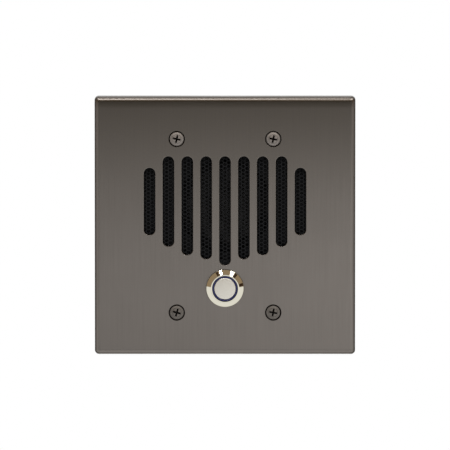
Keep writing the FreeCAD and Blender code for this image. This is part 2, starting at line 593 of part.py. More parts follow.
def make_faceplate():
    """The pressed plate: a pan with rounded edges, nine slots, four countersinks and the button's hole."""
    body = new_body("faceplate")
    sketch = new_sketch(body, "outline", "XZ_Plane", "-plate_depth")
    draw_outline(sketch, rectangle("-plate_width / 2", "plate_width / 2", "-plate_height / 2", "plate_height / 2"))
    feature(body, "Pad", sketch, Length="plate_depth", Reversed=True)
    front = value("-plate_depth")
    dress(body, "Fillet", upright_edges(body), Radius="corner_inner_radius + sheet_thickness")
    dress(body, "Fillet", edges(body, lambda p: abs(p.y - front) < 1e-6), Radius="bend_inner_radius + sheet_thickness")
    sketch = new_sketch(body, "hollow", "XZ_Plane")
    inner = ("plate_width / 2 - sheet_thickness", "plate_height / 2 - sheet_thickness")
    draw_outline(sketch, rectangle(f"-({inner[0]})", inner[0], f"-({inner[1]})", inner[1]))
    feature(body, "Pocket", sketch, Length="plate_depth - sheet_thickness", Reversed=True)
    floor = value("sheet_back")
    dress(body, "Fillet", upright_edges(body, value(inner[0]) + 0.01, value(inner[1]) + 0.01),
          Radius="corner_inner_radius")
    dress(body, "Fillet", edges(body, lambda p: abs(p.y - floor) < 1e-6), Radius="bend_inner_radius")
    sketch = new_sketch(body, "slots", "XZ_Plane", "-plate_depth")
    drops = ["slot_drop_centre", "slot_drop_second", "slot_drop_third", "slot_drop_fourth", "slot_drop_outer"]
    for index in range(-4, 5):
        top = "slot_top - outer_slot_step" if abs(index) == 4 else "slot_top"
        draw_outline(sketch, slot_outline(f"slot_pitch * {index}", top, f"-{drops[abs(index)]}"))
    feature(body, "Pocket", sketch, Length="sheet_thickness")
    reach, rise = value("field_half_width"), value("slot_top")
    rims = edges(body, lambda p: abs(p.y - front) < 1e-6 and abs(p.x) < reach + 0.01 and abs(p.z) < rise + 0.01)
    dress(body, "Fillet", rims, Radius="slot_edge_radius")
    drill(body, "button_hole", [("0", "button_height", "barrel_diameter / 2 + barrel_play")], "-plate_depth",
          "sheet_thickness")
    sketch = new_sketch(body, "screw_holes", "XZ_Plane", "-plate_depth")
    for x, z in WALL_SCREW_SPOTS:
        draw_circle(sketch, x, z, "wall_hole_diameter / 2")
    doc.recompute()
    hole = body.newObject("PartDesign::Hole", "faceplate_countersinks")
    hole.Profile = sketch
    doc.recompute()
    hole.DepthType = "ThroughAll"
    hole.HoleCutType = "Countersink"
    bind(hole, Diameter="wall_hole_diameter", HoleCutDiameter="countersink_diameter",
         HoleCutCountersinkAngle="countersink_angle")
    doc.recompute()
    keep(body)


def upright_edges(body, half_width=1e6, half_height=1e6):
    """Names of the straight edges that run from front to back, no further out than two limits."""
    names = []
    for number, edge in enumerate(body.Tip.Shape.Edges, 1):
        ends = [vertex.Point for vertex in edge.Vertexes]
        if len(ends) == 2 and math.hypot(ends[0].x - ends[1].x, ends[0].z - ends[1].z) < 1e-6:
            if abs(ends[0].x) < half_width and abs(ends[0].z) < half_height:
                names.append(f"Edge{number}")
    return names


def make_wall_fixings():
    """The four wall screws, and the foam frame that lies inside the plate's edge against the wall."""
    head = "wall_head_diameter / 2"
    shank = "wall_screw_diameter / 2"
    neck = f"head_edge + ({head} - {shank}) / tan(countersink_angle / 2)"
    tip = "head_edge + wall_screw_length"
    screw = turned("wall_screw", [("0", "head_edge - wall_head_crown", "axis"), (head, "head_edge"), (shank, neck),
                                  (shank, f"{tip} - {shank} / 2"), (f"{shank} / 2", tip), ("0", tip)])
    sketch = new_sketch(screw, "recess", "XZ_Plane", "head_edge - wall_head_crown")
    wing, reach = "recess_wing / 2", "recess_span / 2"
    quarter = [(wing, reach), (wing, wing), (reach, wing)]
    right = quarter + [(x, f"-({z})") for x, z in reversed(quarter)]
    draw_outline(sketch, mirrored(right))
    feature(screw, "Pocket", sketch, Length="recess_depth")
    turns = ["recess_turn_upper_left", "recess_turn_upper_right", "recess_turn_lower_left",
             "recess_turn_lower_right"]
    outlines = []
    for inset in ("edge_play", "edge_play - wall_gasket_width"):
        across, up = (f"{side} / 2 - sheet_thickness - bend_inner_radius - {inset}"
                      for side in ("plate_width", "plate_height"))
        outlines.append(rectangle(f"-({across})", across, f"-({up})", up))
    frame = slab("wall_gasket", outlines, "sheet_back", "plate_depth - sheet_thickness")
    keep(repeated("wall_screws", screw, WALL_SCREW_SPOTS, turns), frame)


def mesh_outline():
    """Corners of the mesh, which covers the slots."""
    side = "field_half_width + mesh_margin"
    return mirrored([(side, "slot_top + mesh_margin"), (side, "-(slot_drop_outer + mesh_side_margin)"),
                     ("slot_width / 2 + mesh_margin", "-(slot_drop_centre + mesh_foot_margin)")])


def flange_outline():
    """Corners of the baffle's flange, with a leg to each lower stud and a notch between them for the button's nut."""
    outside = "lower_stud_offset + leg_outer_margin"
    inside = "lower_stud_offset - leg_inner_margin"
    foot = "lower_stud_height - leg_foot_margin"
    return mirrored([("flange_half_width", "flange_top"), ("flange_half_width", "chamber_shoulder - flange_margin"),
                     (outside, "chamber_shoulder - flange_margin - leg_slope"), (outside, foot),
                     (inside, foot), (inside, "notch_top - baffle_wall"), (f"({inside}) / 2", "notch_top")])


def make_mesh():
    """The mesh behind the slots, and the thin gasket of the same thickness round it."""
    mesh = slab("mesh_screen", [mesh_outline()], "sheet_back", "mesh_thickness")
    gasket = slab("baffle_gasket", [flange_outline()], "sheet_back", "mesh_thickness")
    sketch = new_sketch(gasket, "window", "XZ_Plane", "sheet_back")
    side = "field_half_width + mesh_margin + mesh_play"
    draw_outline(sketch, mirrored([(side, "slot_top + mesh_margin + mesh_play"),
                                   (side, "-(slot_drop_outer + mesh_side_margin + mesh_play)"),
                                   ("slot_width / 2 + mesh_margin + mesh_play",
                                    "-(slot_drop_centre + mesh_foot_margin + mesh_play)")]))
    feature(gasket, "Pocket", sketch, Length="mesh_thickness")
    drill(gasket, "stud_holes", [(x, z, "stud_foot_diameter / 2 + bolt_play") for x, z in STUDS], "sheet_back",
          "mesh_thickness")
    clear_wall_screws(gasket, "sheet_back", "mesh_thickness")
    keep(mesh, gasket)


def clear_wall_screws(body, level, depth):
    """Notches the upper edge of a piece round the two upper wall screws."""
    radius = "wall_screw_diameter / 2 + screw_clearance"
    drill(body, "screw_notches", [(x, z, radius) for x, z in WALL_SCREW_SPOTS[:2]], level, depth)


def make_baffle():
    """The moulded baffle: a flange on the studs, the chamber behind the mesh, and the seat of the speaker."""
    body = slab("speaker_baffle", [flange_outline()], "mesh_back", "baffle_wall")
    dress(body, "Fillet", upright_edges(body), Radius="flange_corner_radius")
    sketch = new_sketch(body, "chamber", "XZ_Plane", "mesh_back")
    side = "chamber_half_width + baffle_wall"
    foot = "chamber_foot_width / 2 + baffle_wall"
    draw_outline(sketch, mirrored([(side, "chamber_top + baffle_wall"), (side, "chamber_shoulder - baffle_wall"),
                                   (foot, "chamber_foot - baffle_wall")]))
    feature(body, "Pad", sketch, Length="chamber_depth + baffle_wall", Reversed=True)
    seat = "rim_radius + speaker_play"
    height = "seat_top - baffle_back"
    sketch = new_sketch(body, "seat_ring", "XZ_Plane", "baffle_back")
    draw_circle(sketch, "0", "speaker_height", f"{seat} + seat_wall")
    feature(body, "Pad", sketch, Length=height, Reversed=True)
    sketch = new_sketch(body, "bosses", "XZ_Plane", "baffle_back")
    for x, z in BOSSES:
        draw_circle(sketch, x, z, "boss_diameter / 2")
    feature(body, "Pad", sketch, Length=height, Reversed=True)
    sketch = new_sketch(body, "ribs", "XZ_Plane", "baffle_back")
    for rise in ("rib_spread", "-rib_spread"):
        low, high = (f"speaker_height + {rise} {sign} rib_thickness / 2" for sign in "-+")
        for inward, outward in (("rim_radius", "chamber_half_width"), ("-rim_radius", "-chamber_half_width")):
            draw_outline(sketch, rectangle(inward, outward, low, high))
    feature(body, "Pad", sketch, Length=height, Reversed=True)
    drill(body, "seat", [("0", "speaker_height", seat)], "seat_top", height, backwards=False)
    sketch = new_sketch(body, "hollow", "XZ_Plane", "mesh_back")
    draw_outline(sketch, mirrored([("chamber_half_width", "chamber_top"), ("chamber_half_width", "chamber_shoulder"),
                                   ("chamber_foot_width / 2", "chamber_foot")]))
    feature(body, "Pocket", sketch, Length="chamber_depth")
    drill(body, "sound_hole", [("0", "speaker_height", "mouth_radius + sound_hole_play")], "chamber_floor",
          "baffle_wall")
    drill(body, "boss_holes", [(x, z, "stud_diameter / 2 + thread_play") for x, z in BOSSES], "seat_top",
          "boss_hole_depth", backwards=False)
    drill(body, "stud_holes", [(x, z, "stud_diameter / 2 + bolt_play") for x, z in STUDS], "mesh_back",
          "baffle_wall")
    clear_wall_screws(body, "mesh_back", "chamber_depth + baffle_wall")
    keep(body)


def make_stud_fixings():
    """The weld studs with their washers, the nuts on the upper ones and the board's spacers on the lower ones."""
    shank, foot = "stud_diameter / 2", "stud_foot_diameter / 2"
    tip = "sheet_back + stud_length"
    stud = turned("weld_stud", [("0", "sheet_back"), (foot, "sheet_back"), (foot, "mesh_back"), (shank, "mesh_back"),
                                (shank, f"{tip} - {shank} / 3"), (f"{shank} * 2 / 3", tip), ("0", tip)])
    washer = tube("stud_washer", "stud_diameter / 2 + bolt_play", "washer_diameter / 2", "flange_back", "washer_back")
    nut = slab("stud_nut", [hexagon("stud_nut_flats")], "washer_back", "stud_nut_height")
    drill(nut, "thread", [("0", "0", "stud_diameter / 2 + thread_play")], "washer_back", "stud_nut_height")
    spacer = slab("board_spacer", [hexagon("stud_nut_flats")], "washer_back", "board_front - washer_back")
    drill(spacer, "thread", [("0", "0", "stud_diameter / 2 + thread_play")], "washer_back",
          "board_front - washer_back")
    head, top = "pan_head_diameter / 2", "board_back + pan_head_height"
    screw = turned("board_screw", [("0", "board_back - board_screw_length"),
                                   (shank, "board_back - board_screw_length"), (shank, "board_back"),
                                   (head, "board_back"), (head, "board_back + pan_head_height / 2"),
                                   (f"{head} - pan_head_height / 2", top), ("0", top)])
    keep(repeated("weld_studs", stud, STUDS), repeated("stud_washers", washer, STUDS),
         repeated("stud_nuts", nut, UPPER_STUDS), repeated("board_spacers", spacer, LOWER_STUDS),
         repeated("board_screws", screw, LOWER_STUDS))


def make_button_shell():
    """The bezel with its barrel, the rubber ring under it, and the washer and nut behind the plate."""
    z = "button_height"
    bore, flange, barrel = "bore_radius", "bezel_radius", "barrel_diameter / 2"
    bezel = turned("button_bezel", [(bore, "bezel_front"), (f"{bore} + bezel_lip", "bezel_front"),
                                    (flange, "bezel_back - bezel_edge"), (flange, "bezel_back"),
                                    (barrel, "bezel_back"), (barrel, f"barrel_end - {barrel} / 16"),
                                    (f"{barrel} * 15 / 16", "barrel_end"), (bore, "barrel_end")], z=z)
    hole = "barrel_diameter / 2 + barrel_play"
    gasket = tube("button_gasket", hole, f"{flange} - button_gasket_margin", "bezel_back", "-plate_depth", z=z)
    washer = tube("button_lock_washer", hole, f"{hole} + lock_washer_width", "sheet_back", "lock_washer_back", z=z)
    nut = slab("button_nut", [hexagon("button_nut_flats")], "lock_washer_back", "button_nut_height", z=z)
    drill(nut, "thread", [("0", "0", hole)], "lock_washer_back", "button_nut_height")
    keep(bezel, gasket, washer, nut)


def make_light_ring():
    """The lens round the cap, and behind it the ring-shaped board with its LEDs and its two stiff leads."""
    z = "button_height"
    inner = "cap_radius + cap_play"
    ring = tube("light_ring", inner, "ring_radius", "ring_front", "ring_back", z=z)
    board = tube("led_ring_board", inner, "ring_radius", "led_board_front", "housing_front", z=z)
    drill(board, "lead_holes", [("0", f"led_circle * {side}", "led_lead_diameter / 2 + pin_play")
                                for side in (1, -1)], "led_board_front", "led_board_thickness")
    led = slab("ring_led", [rectangle("-led_length / 2", "led_length / 2", "led_circle - led_width / 2",
                                      "led_circle + led_width / 2")], "led_board_front - led_height", "led_height")
    lead = turned("led_lead", rectangle("0", "led_lead_diameter / 2", "led_board_front - led_height / 2",
                                        "board_back + pin_stand_out"))
    spots = [("0", z)] * LED_COUNT
    turns = [f"{(index + 0.5) * 360 / LED_COUNT}" for index in range(LED_COUNT)]
    keep(ring, board, repeated("ring_leds", led, spots, turns),
         repeated("led_leads", lead, [("0", f"{z} + led_circle"), ("0", f"{z} - led_circle")]))


def make_button_action():
    """The pieces that move when the button is pressed, and the spring that brings them back."""
    z = "button_height"
    cap = turned("button_cap", [("0", "cap_front"), ("cap_radius - cap_chamfer", "cap_front"),
                                ("cap_radius", "cap_front + cap_chamfer"), ("cap_radius", "cap_back"),
                                ("0", "cap_back")], z=z)
    stem, collar = "guide_radius - fit_play", "guide_radius + plunger_collar_lip"
    start, stop = "guide_back + fit_play", "guide_back + fit_play + plunger_collar_height"
    plunger = turned("button_plunger", [("0", "cap_back"), (stem, "cap_back"), (stem, start), (collar, start),
                                        (collar, stop), (stem, stop), (stem, "bridge_front"),
                                        ("0", "bridge_front")], z=z)
    bridge = slab("moving_contact", [rectangle("-bridge_half_length", "bridge_half_length", "-bridge_width / 2",
                                               "bridge_width / 2")], "bridge_front", "bridge_thickness", z=z)
    spring = tube("return_spring", "spring_radius - spring_wire", "spring_radius", "cap_back",
                  "spring_seat", z=z)
    keep(cap, plunger, bridge, spring)


def make_switch():
    """The switch housing in the barrel, the base that closes it, and the two fixed contacts."""
    z = "button_height"
    slim, wide, bore = "ring_radius", "tail_radius", "switch_radius"
    guide, pocket = "guide_radius", "pocket_radius"
    housing = turned("switch_housing", [(pocket, "housing_front"), (slim, "housing_front"), (slim, "barrel_end"),
                                        (wide, "barrel_end"), (wide, "housing_back"), (bore, "housing_back"),
                                        (bore, "guide_back"), (guide, "guide_back"), (guide, "spring_seat"),
                                        (pocket, "spring_seat")], z=z)
    plug = f"{bore} - fit_play"
    base = turned("switch_base", [("0", "housing_back - base_plug_depth"), (plug, "housing_back - base_plug_depth"),
                                  (plug, "housing_back"), (wide, "housing_back"), (wide, "base_back"),
                                  ("0", "base_back")], z=z)
    lead_holes = [("0", f"led_circle * {side}", "led_lead_diameter / 2 + pin_play") for side in (1, -1)]
    pin_holes = [(f"contact_offset * {side}", "0", "contact_pin_diameter / 2 + pin_play") for side in (1, -1)]
    drill(housing, "lead_holes", lead_holes, "housing_front", "housing_back - housing_front")
    drill(base, "holes", lead_holes + pin_holes, "housing_back - base_plug_depth", "base_thickness + base_plug_depth")
    pin = turned("contact_pin", rectangle("0", "contact_pin_diameter / 2", "contact_tip",
                                          "board_back + pin_stand_out"))
    keep(housing, base, repeated("contact_pins", pin, [("contact_offset", z), ("-contact_offset", z)]))


def make_speaker_frame():
    """The stamped basket: rim, steep mouth, sloping wall with windows, spider's ledge and floor, and the tag's tab."""
    metal, ledge, step = "basket_metal", "ledge_diameter / 2", "mouth_step"
    inner_ledge = f"{ledge} - ledge_width"
    hole = "basket_hole_diameter / 2"
    inside = [("rim_radius", "0"), ("mouth_radius", "0"), ("mouth_radius - draft", step), (ledge, "ledge_depth"),
              (inner_ledge, "ledge_depth"), (f"{inner_ledge} - draft", "basket_depth"), (hole, "basket_depth")]
    outside = [(hole, f"basket_depth + {metal}"), (f"{inner_ledge} - draft + {metal}", f"basket_depth + {metal}"),
               (f"{inner_ledge} + {metal}", f"ledge_depth + {metal}"),
               (f"{ledge} + {metal} / 2", f"ledge_depth + {metal}"),
               (f"mouth_radius - draft + {metal}", f"{step} + {metal} / 2"), (f"mouth_radius + {metal}", metal),
               ("rim_radius", metal)]
    body = turned("speaker_frame", inside + outside, y="rim_front", z="speaker_height")
    sketch = new_sketch(body, "windows", "XZ_Plane")
    near, far = f"{ledge} + window_ledge_margin", "mouth_radius - window_rim_margin"
    for index in range(WINDOW_COUNT):
        middle = (index + 0.5) * 360 / WINDOW_COUNT
        first, last = f"({middle} - window_angle / 2)", f"({middle} + window_angle / 2)"
        spot = {(reach, angle): (f"({reach}) * cos({angle})", f"({reach}) * sin({angle})")
                for reach in (near, far) for angle in (first, str(middle), last)}
        draw_outline(sketch, [(*spot[near, first], spot[near, str(middle)]), spot[near, last],
                              (*spot[far, last], spot[far, str(middle)]), spot[far, first]])
    feature(body, "Pocket", sketch, Length="ledge_depth")
    sketch = new_sketch(body, "tab", "XZ_Plane", "ledge_depth")
    draw_outline(sketch, rectangle("-tab_width / 2", "tab_width / 2", "-tab_reach", f"-({ledge} - ledge_width / 2)"))
    feature(body, "Pad", sketch, Length=metal, Reversed=True)
    drill(body, "rivet_hole", [("0", "-rivet_drop", "rivet_diameter / 2 + fit_play")], "ledge_depth", metal)
    gasket = tube("speaker_gasket", "mouth_radius + surround_land + edge_play", "rim_radius", "-speaker_gasket_thickness",
                  "0", y="rim_front", z="speaker_height")
    keep(body, gasket)


def make_cone():
    """The moving cone with its roll, dust cap, coil and spider."""
    at = {"y": "rim_front", "z": "speaker_height"}
    metal, glue = "surround_thickness", "glue_line"
    land = "mouth_radius + surround_land"
    inner, middle = "mouth_radius - surround_roll_width", "mouth_radius - surround_roll_width / 2"
    half = "surround_roll_width / 2"
    front = f"-({glue} + {metal})"
    angles = [180 * step / ROLL_FACES for step in range(ROLL_FACES + 1)]
    over = [(f"{middle} + {half} * cos({angle})", f"{front} - surround_roll_height * sin({angle})")
            for angle in angles]
    under = [(f"{middle} - ({half} - {metal}) * cos({angle})", f"-{glue} - surround_roll_height * sin({angle})")
             for angle in angles]
    surround = turned("cone_surround", [(land, f"-{glue}"), (land, front), *over, (inner, f"-{glue}"), *under], **at)
    neck = f"former_radius + {glue}"
    cone = turned("speaker_cone", [("cone_edge", f"-{glue}"), ("cone_edge", f"cone_thickness - {glue}"),
                                   (neck, "cone_neck_depth + cone_thickness"), (neck, "cone_neck_depth")], **at)
    rim = "dust_cap_diameter / 2"
    seat = f"cone_neck_depth - ({rim} - {neck}) * cone_slope - {glue}"
    inner_rim = f"{rim} - dust_cap_thickness"
    dome = turned("dust_cap", [("0", f"{seat} - dust_cap_height", "axis"), (rim, seat), (inner_rim, seat, "axis"),
                               ("0", f"{seat} - dust_cap_height + dust_cap_thickness")], **at)
    winding_end = "winding_front + winding_length"
    former = tube("coil_former", "former_bore / 2", "former_radius", "cone_neck_depth - former_lead",
                  f"{winding_end} + winding_tail", **at)
    winding = tube("coil_winding", "former_radius", "winding_radius", "winding_front", winding_end, **at)
    keep(surround, cone, dome, former, winding, make_spider(at))


def make_spider(at):
    """The centring disc: rings that rise and fall between the coil and the ledge."""
    start, end = "former_radius + glue_line", "ledge_diameter / 2 - fit_play"
    edge = f"{end} - spider_land"
    low = "ledge_depth - spider_thickness"
    tops = []
    for index in range(2 * SPIDER_WAVES + 1):
        reach = f"{start} + ({edge} - ({start})) * {index / (2 * SPIDER_WAVES)}"
        tops.append((reach, f"{low} - spider_wave" if index % 2 else low))
    tops.append((end, low))
    bottoms = [(x, f"{y} + spider_thickness") for x, y in reversed(tops)]
    return turned("spider", tops + bottoms, **at)


def make_magnet():
    """The motor: front plate, ferrite ring, and back plate with the pole piece."""
    at = {"y": "rim_front", "z": "speaker_height"}
    edge, rim = "plate_chamfer", "front_plate_diameter / 2"
    gap = "winding_radius + coil_gap"
    front = turned("magnet_front_plate", [(gap, "motor_front"), (f"{rim} - {edge}", "motor_front"),
                                          (rim, f"motor_front + {edge}"), (rim, "magnet_front"),
                                          (gap, "magnet_front")], **at)
    outer, bore = "magnet_diameter / 2", "magnet_bore / 2"
    ring = turned("magnet_ring", [(bore, "magnet_front"), (f"{outer} - {edge}", "magnet_front"),
                                  (outer, f"magnet_front + {edge}"), (outer, f"magnet_back - {edge}"),
                                  (f"{outer} - {edge}", "magnet_back"), (bore, "magnet_back")], **at)
    pole, rim = "former_bore / 2 - pole_gap", "back_plate_diameter / 2"
    back = "magnet_back + back_plate_thickness"
    rear = turned("magnet_back_plate", [("0", "motor_front - pole_setback"), (pole, "motor_front - pole_setback"),
                                        (pole, "magnet_back"), (rim, "magnet_back"), (rim, f"{back} - {edge}"),
                                        (f"{rim} - {edge}", back), ("0", back)], **at)
    keep(front, ring, rear)


def make_speaker_fixings():
    """The washers and screws that hold the rim, and the strip with the two tags that run into the circuit board."""
    shank, head = "stud_diameter / 2", "pan_head_diameter / 2"
    rim_back = "rim_front + basket_metal"
    clamp_back = f"{rim_back} + clamp_thickness"
    washer = tube("speaker_clamp", f"{shank} + bolt_play", "clamp_diameter / 2", rim_back, clamp_back)
    tip = "seat_top - boss_hole_depth + thread_play"
    screw = turned("speaker_screw", [("0", tip), (shank, tip), (shank, clamp_back), (head, clamp_back),
                                     (head, f"{clamp_back} + pan_head_height / 2"),
                                     (f"{head} - pan_head_height / 2", f"{clamp_back} + pan_head_height"),
                                     ("0", f"{clamp_back} + pan_head_height")])
    strip_front = "rim_front + ledge_depth + basket_metal"
    strip_back = f"{strip_front} + strip_thickness"
    foot = "-(tab_reach + strip_overhang)"
    strip = slab("tag_strip", [rectangle("-strip_width / 2", "strip_width / 2", foot, f"{foot} + strip_height")],
                 strip_front, "strip_thickness", z="speaker_height")
    drill(strip, "rivet_hole", [("0", "-rivet_drop", "rivet_diameter / 2 + fit_play")], strip_front,
          "strip_thickness")
    stem, cap = "rivet_diameter / 2", "rivet_head_diameter / 2"
    tab_front = "rim_front + ledge_depth"
    rivet = turned("strip_rivet", [("0", f"{tab_front} - rivet_head_height"), (cap, f"{tab_front} - rivet_head_height"),
                                   (cap, tab_front), (stem, tab_front), (stem, strip_back), (cap, strip_back),
                                   (cap, f"{strip_back} + rivet_head_height"),
                                   ("0", f"{strip_back} + rivet_head_height")], z="speaker_height - rivet_drop")
    tag = new_body("speaker_tag")
    sketch = new_sketch(tag, "bend", "YZ_Plane")
    half, height = "tag_thickness / 2", "tag_height"
    draw_outline(sketch, [(strip_back, f"{height} - tag_foot"), (f"{strip_back} + tag_thickness",
                                                                f"{height} - tag_foot"),
                          (f"{strip_back} + tag_thickness", f"{height} - {half}"),
                          ("board_back + pin_stand_out", f"{height} - {half}"),
                          ("board_back + pin_stand_out", f"{height} + {half}"), (strip_back, f"{height} + {half}")])
    feature(tag, "Pad", sketch, Length="tag_width", Midplane=True)
    keep(repeated("speaker_clamps", washer, BOSSES), repeated("speaker_screws", screw, BOSSES), strip, rivet,
         repeated("speaker_tags", tag, [("tag_offset", "0"), ("-tag_offset", "0")]))


def make_circuit_board():
    """The board on the lower spacers, with a tab below the button and holes for everything soldered into it."""
    outline = mirrored([("board_half_width", "board_top"), ("board_half_width", "board_foot"),
                        ("board_tab_half_width", "board_foot"),
                        ("board_tab_half_width", "button_height - board_tab_drop")])
    body = slab("circuit_board", [outline], "board_front", "board_thickness")
    holes = [(x, z, "stud_diameter / 2 + bolt_play") for x, z in LOWER_STUDS]
    for side in (1, -1):
        holes.append(("0", f"button_height + led_circle * {side}", "led_lead_diameter / 2 + pin_play"))
        holes.append((f"contact_offset * {side}", "button_height", "contact_pin_diameter / 2 + pin_play"))
        holes.extend((x, f"component_row + lead_span * {side / 2}", "lead_diameter / 2 + pin_play")
                     for x in (*RESISTORS, DIODE))
    holes.extend((x, "component_row", "lead_diameter / 2 + pin_play") for x in CAPACITOR_LEGS)
    holes.extend((x, z, "terminal_pin_diameter / 2 + pin_play") for x, z in TERMINALS)
    drill(body, "holes", holes, "board_front", "board_thickness")
    sketch = new_sketch(body, "tag_slots", "XZ_Plane", "board_front")
    for side in (1, -1):
        middle = f"tag_offset * {side}"
        draw_outline(sketch, rectangle(f"{middle} - tag_width / 2 - pin_play", f"{middle} + tag_width / 2 + pin_play",
                                       "tag_height - tag_thickness / 2 - pin_play",
                                       "tag_height + tag_thickness / 2 + pin_play"))
    feature(body, "Pocket", sketch, Length="board_thickness")
    keep(body)


def make_terminals():
    """The terminal block, with a cage clamp, a screw and a pin for each wire."""
    block = new_body("terminal_block")
    sketch = new_sketch(block, "profile", "YZ_Plane")
    shoulder = "board_back + terminal_shoulder"
    draw_outline(sketch, [("board_back", "terminal_foot"), (shoulder, "terminal_foot"),
                          ("terminal_back", "terminal_foot + terminal_slope"), ("terminal_back", "terminal_top"),
                          ("board_back", "terminal_top")])
    feature(block, "Pad", sketch, Length=f"{BLOCK_HALF_LENGTH} * 2", Midplane=True)
    drill(block, "wells", [(x, z, "well_diameter / 2") for x, z in TERMINALS], "terminal_back",
          "terminal_height - wire_entry_lift - wire_entry_height / 2", backwards=False)
    sketch = new_sketch(block, "wire_entries", "XY_Plane", "terminal_foot")
    for x, _ in TERMINALS:
        draw_outline(sketch, rectangle(f"{x} - wire_entry_width / 2", f"{x} + wire_entry_width / 2",
                                       "board_back + wire_entry_lift",
                                       "board_back + wire_entry_lift + wire_entry_height"))
    feature(block, "Pocket", sketch, Length="wire_entry_depth", Reversed=True)
    drill(block, "pin_holes", [(x, z, "terminal_pin_diameter / 2 + pin_play") for x, z in TERMINALS], "board_back",
          "wire_entry_lift")
    cage = new_body("terminal_clamp")
    sketch = new_sketch(cage, "section", "XY_Plane", "terminal_row - clamp_length / 2")
    half, low = "wire_entry_width / 2 - fit_play", "board_back + wire_entry_lift + fit_play"
    high = "board_back + wire_entry_lift + wire_entry_height - fit_play"
    draw_outline(sketch, rectangle(f"-({half})", half, low, high))
    draw_outline(sketch, rectangle(f"-({half} - clamp_wall)", f"{half} - clamp_wall", f"{low} + clamp_wall",
                                   f"{high} - clamp_wall"))
    feature(cage, "Pad", sketch, Length="clamp_length")
    drill(cage, "screw_hole", [("0", "terminal_row", "terminal_shank_diameter / 2 + fit_play")],
          f"{high} - clamp_wall", "clamp_wall")
    head, shank = "terminal_head_diameter / 2", "terminal_shank_diameter / 2"
    top = "terminal_back - terminal_screw_sink"
    under = f"{top} - terminal_head_height"
    tip = f"{high} - clamp_wall * 2"
    screw = turned("terminal_screw", [("0", tip), (shank, tip), (shank, under), (head, under), (head, top),
                                      ("0", top)])
    pin = turned("terminal_pin", rectangle("0", "terminal_pin_diameter / 2", "board_front - pin_stand_out", low))
    columns = [(x, "0") for x, _ in TERMINALS]
    keep(block, repeated("terminal_clamps", cage, columns), repeated("terminal_screws", screw, TERMINALS),
         repeated("terminal_pins", pin, TERMINALS))


def bent_leg(label, body_half_length, axis_level):
    """A wire leg: up from the board, round a bend, and along to the end of the component."""
    leg = new_body(label)
    foot, far = "board_front - pin_stand_out", "lead_span / 2"
    corner, turn = f"({axis_level} - lead_bend)", f"({far} - lead_bend)"
    upright = new_sketch(leg, "upright", "XZ_Plane", foot)
    draw_circle(upright, "0", far, "lead_diameter / 2")
    feature(leg, "Pad", upright, Length=f"{corner} - ({foot})", Reversed=True)
    bend = new_sketch(leg, "bend", "XZ_Plane", corner)
    draw_circle(bend, "0", far, "lead_diameter / 2")
    axis = bend.addGeometry(Part.LineSegment(FreeCAD.Vector(-1, value(turn), 0), FreeCAD.Vector(1, value(turn), 0)),
                            True)
    fix_point(bend, axis, 1, "-lead_bend", turn)
    fix_point(bend, axis, 2, "lead_bend", turn)
    feature(leg, "Revolution", bend, along="Axis0", Angle=90, Reversed=True)
    level = new_sketch(leg, "level", "XY_Plane", turn)
    draw_circle(level, "0", axis_level, "lead_diameter / 2")
    feature(leg, "Pad", level, Length=f"{turn} - {body_half_length}", Reversed=True)
    return leg


def make_components():
    """Two resistors, a diode and a capacitor on the back of the board, and their wire legs."""
    resistor_axis = "board_back + component_lift + resistor_diameter / 2"
    diode_axis = "board_back + component_lift + diode_diameter / 2"
    resistor = round_component("resistor", "resistor_diameter", "resistor_length", resistor_axis)
    diode = round_component("protection_diode", "diode_diameter", "diode_length", diode_axis)
    put(diode, DIODE, "0", "component_row")
    resistor_leg = bent_leg("resistor_leg", "resistor_length / 2", resistor_axis)
    diode_leg = bent_leg("diode_leg", "diode_length / 2", diode_axis)
    straight_leg = turned("capacitor_leg", rectangle("0", "lead_diameter / 2", "board_front - pin_stand_out",
                                                     "board_back"))
    can = "capacitor_diameter / 2"
    top = "board_back + capacitor_height"
    capacitor = turned("speaker_capacitor", [("0", "board_back"), (can, "board_back"), (can, f"{top} - {can} / 10"),
                                             (f"{can} * 9 / 10", top), ("0", top)],
                       x=CAPACITOR, z="component_row")
    row = "component_row"
    resistors = repeated("led_resistors", resistor, [(x, row) for x in RESISTORS])
    legs = repeated("resistor_legs", resistor_leg, [(x, row) for x in RESISTORS for _ in "ab"],
                    ["0", "180"] * RESISTOR_COUNT)
    diode_legs = repeated("diode_legs", diode_leg, [(DIODE, row)] * 2, ["0", "180"])
    straight = repeated("capacitor_legs", straight_leg, [(x, row) for x in CAPACITOR_LEGS])
    leads = doc.addObject("Part::Compound", "component_leads")
    leads.Label = "component_leads"
    leads.Links = [legs, diode_legs, straight]
    keep(resistors, diode, capacitor, leads)


def round_component(label, diameter, length, axis_level):
    """A small cylinder lying along Z with rounded shoulders."""
    body = new_body(label)
    sketch = new_sketch(body, "profile", "YZ_Plane")
    half, radius = f"{length} / 2", f"{diameter} / 2"
    shoulder = f"{radius} / 4"
    draw_outline(sketch, [(axis_level, f"-({half})"), (f"{axis_level} + {radius} - {shoulder}", f"-({half})"),
                          (f"{axis_level} + {radius}", f"{shoulder} - {half}"),
                          (f"{axis_level} + {radius}", f"{half} - {shoulder}"),
                          (f"{axis_level} + {radius} - {shoulder}", half), (axis_level, half)])
    axis = sketch.addGeometry(Part.LineSegment(FreeCAD.Vector(value(axis_level), -1, 0),
                                               FreeCAD.Vector(value(axis_level), 1, 0)), True)
    fix_point(sketch, axis, 1, axis_level, f"-({half})")
    fix_point(sketch, axis, 2, axis_level, half)
    feature(body, "Revolution", sketch, along="Axis0", Angle=360)
    return body


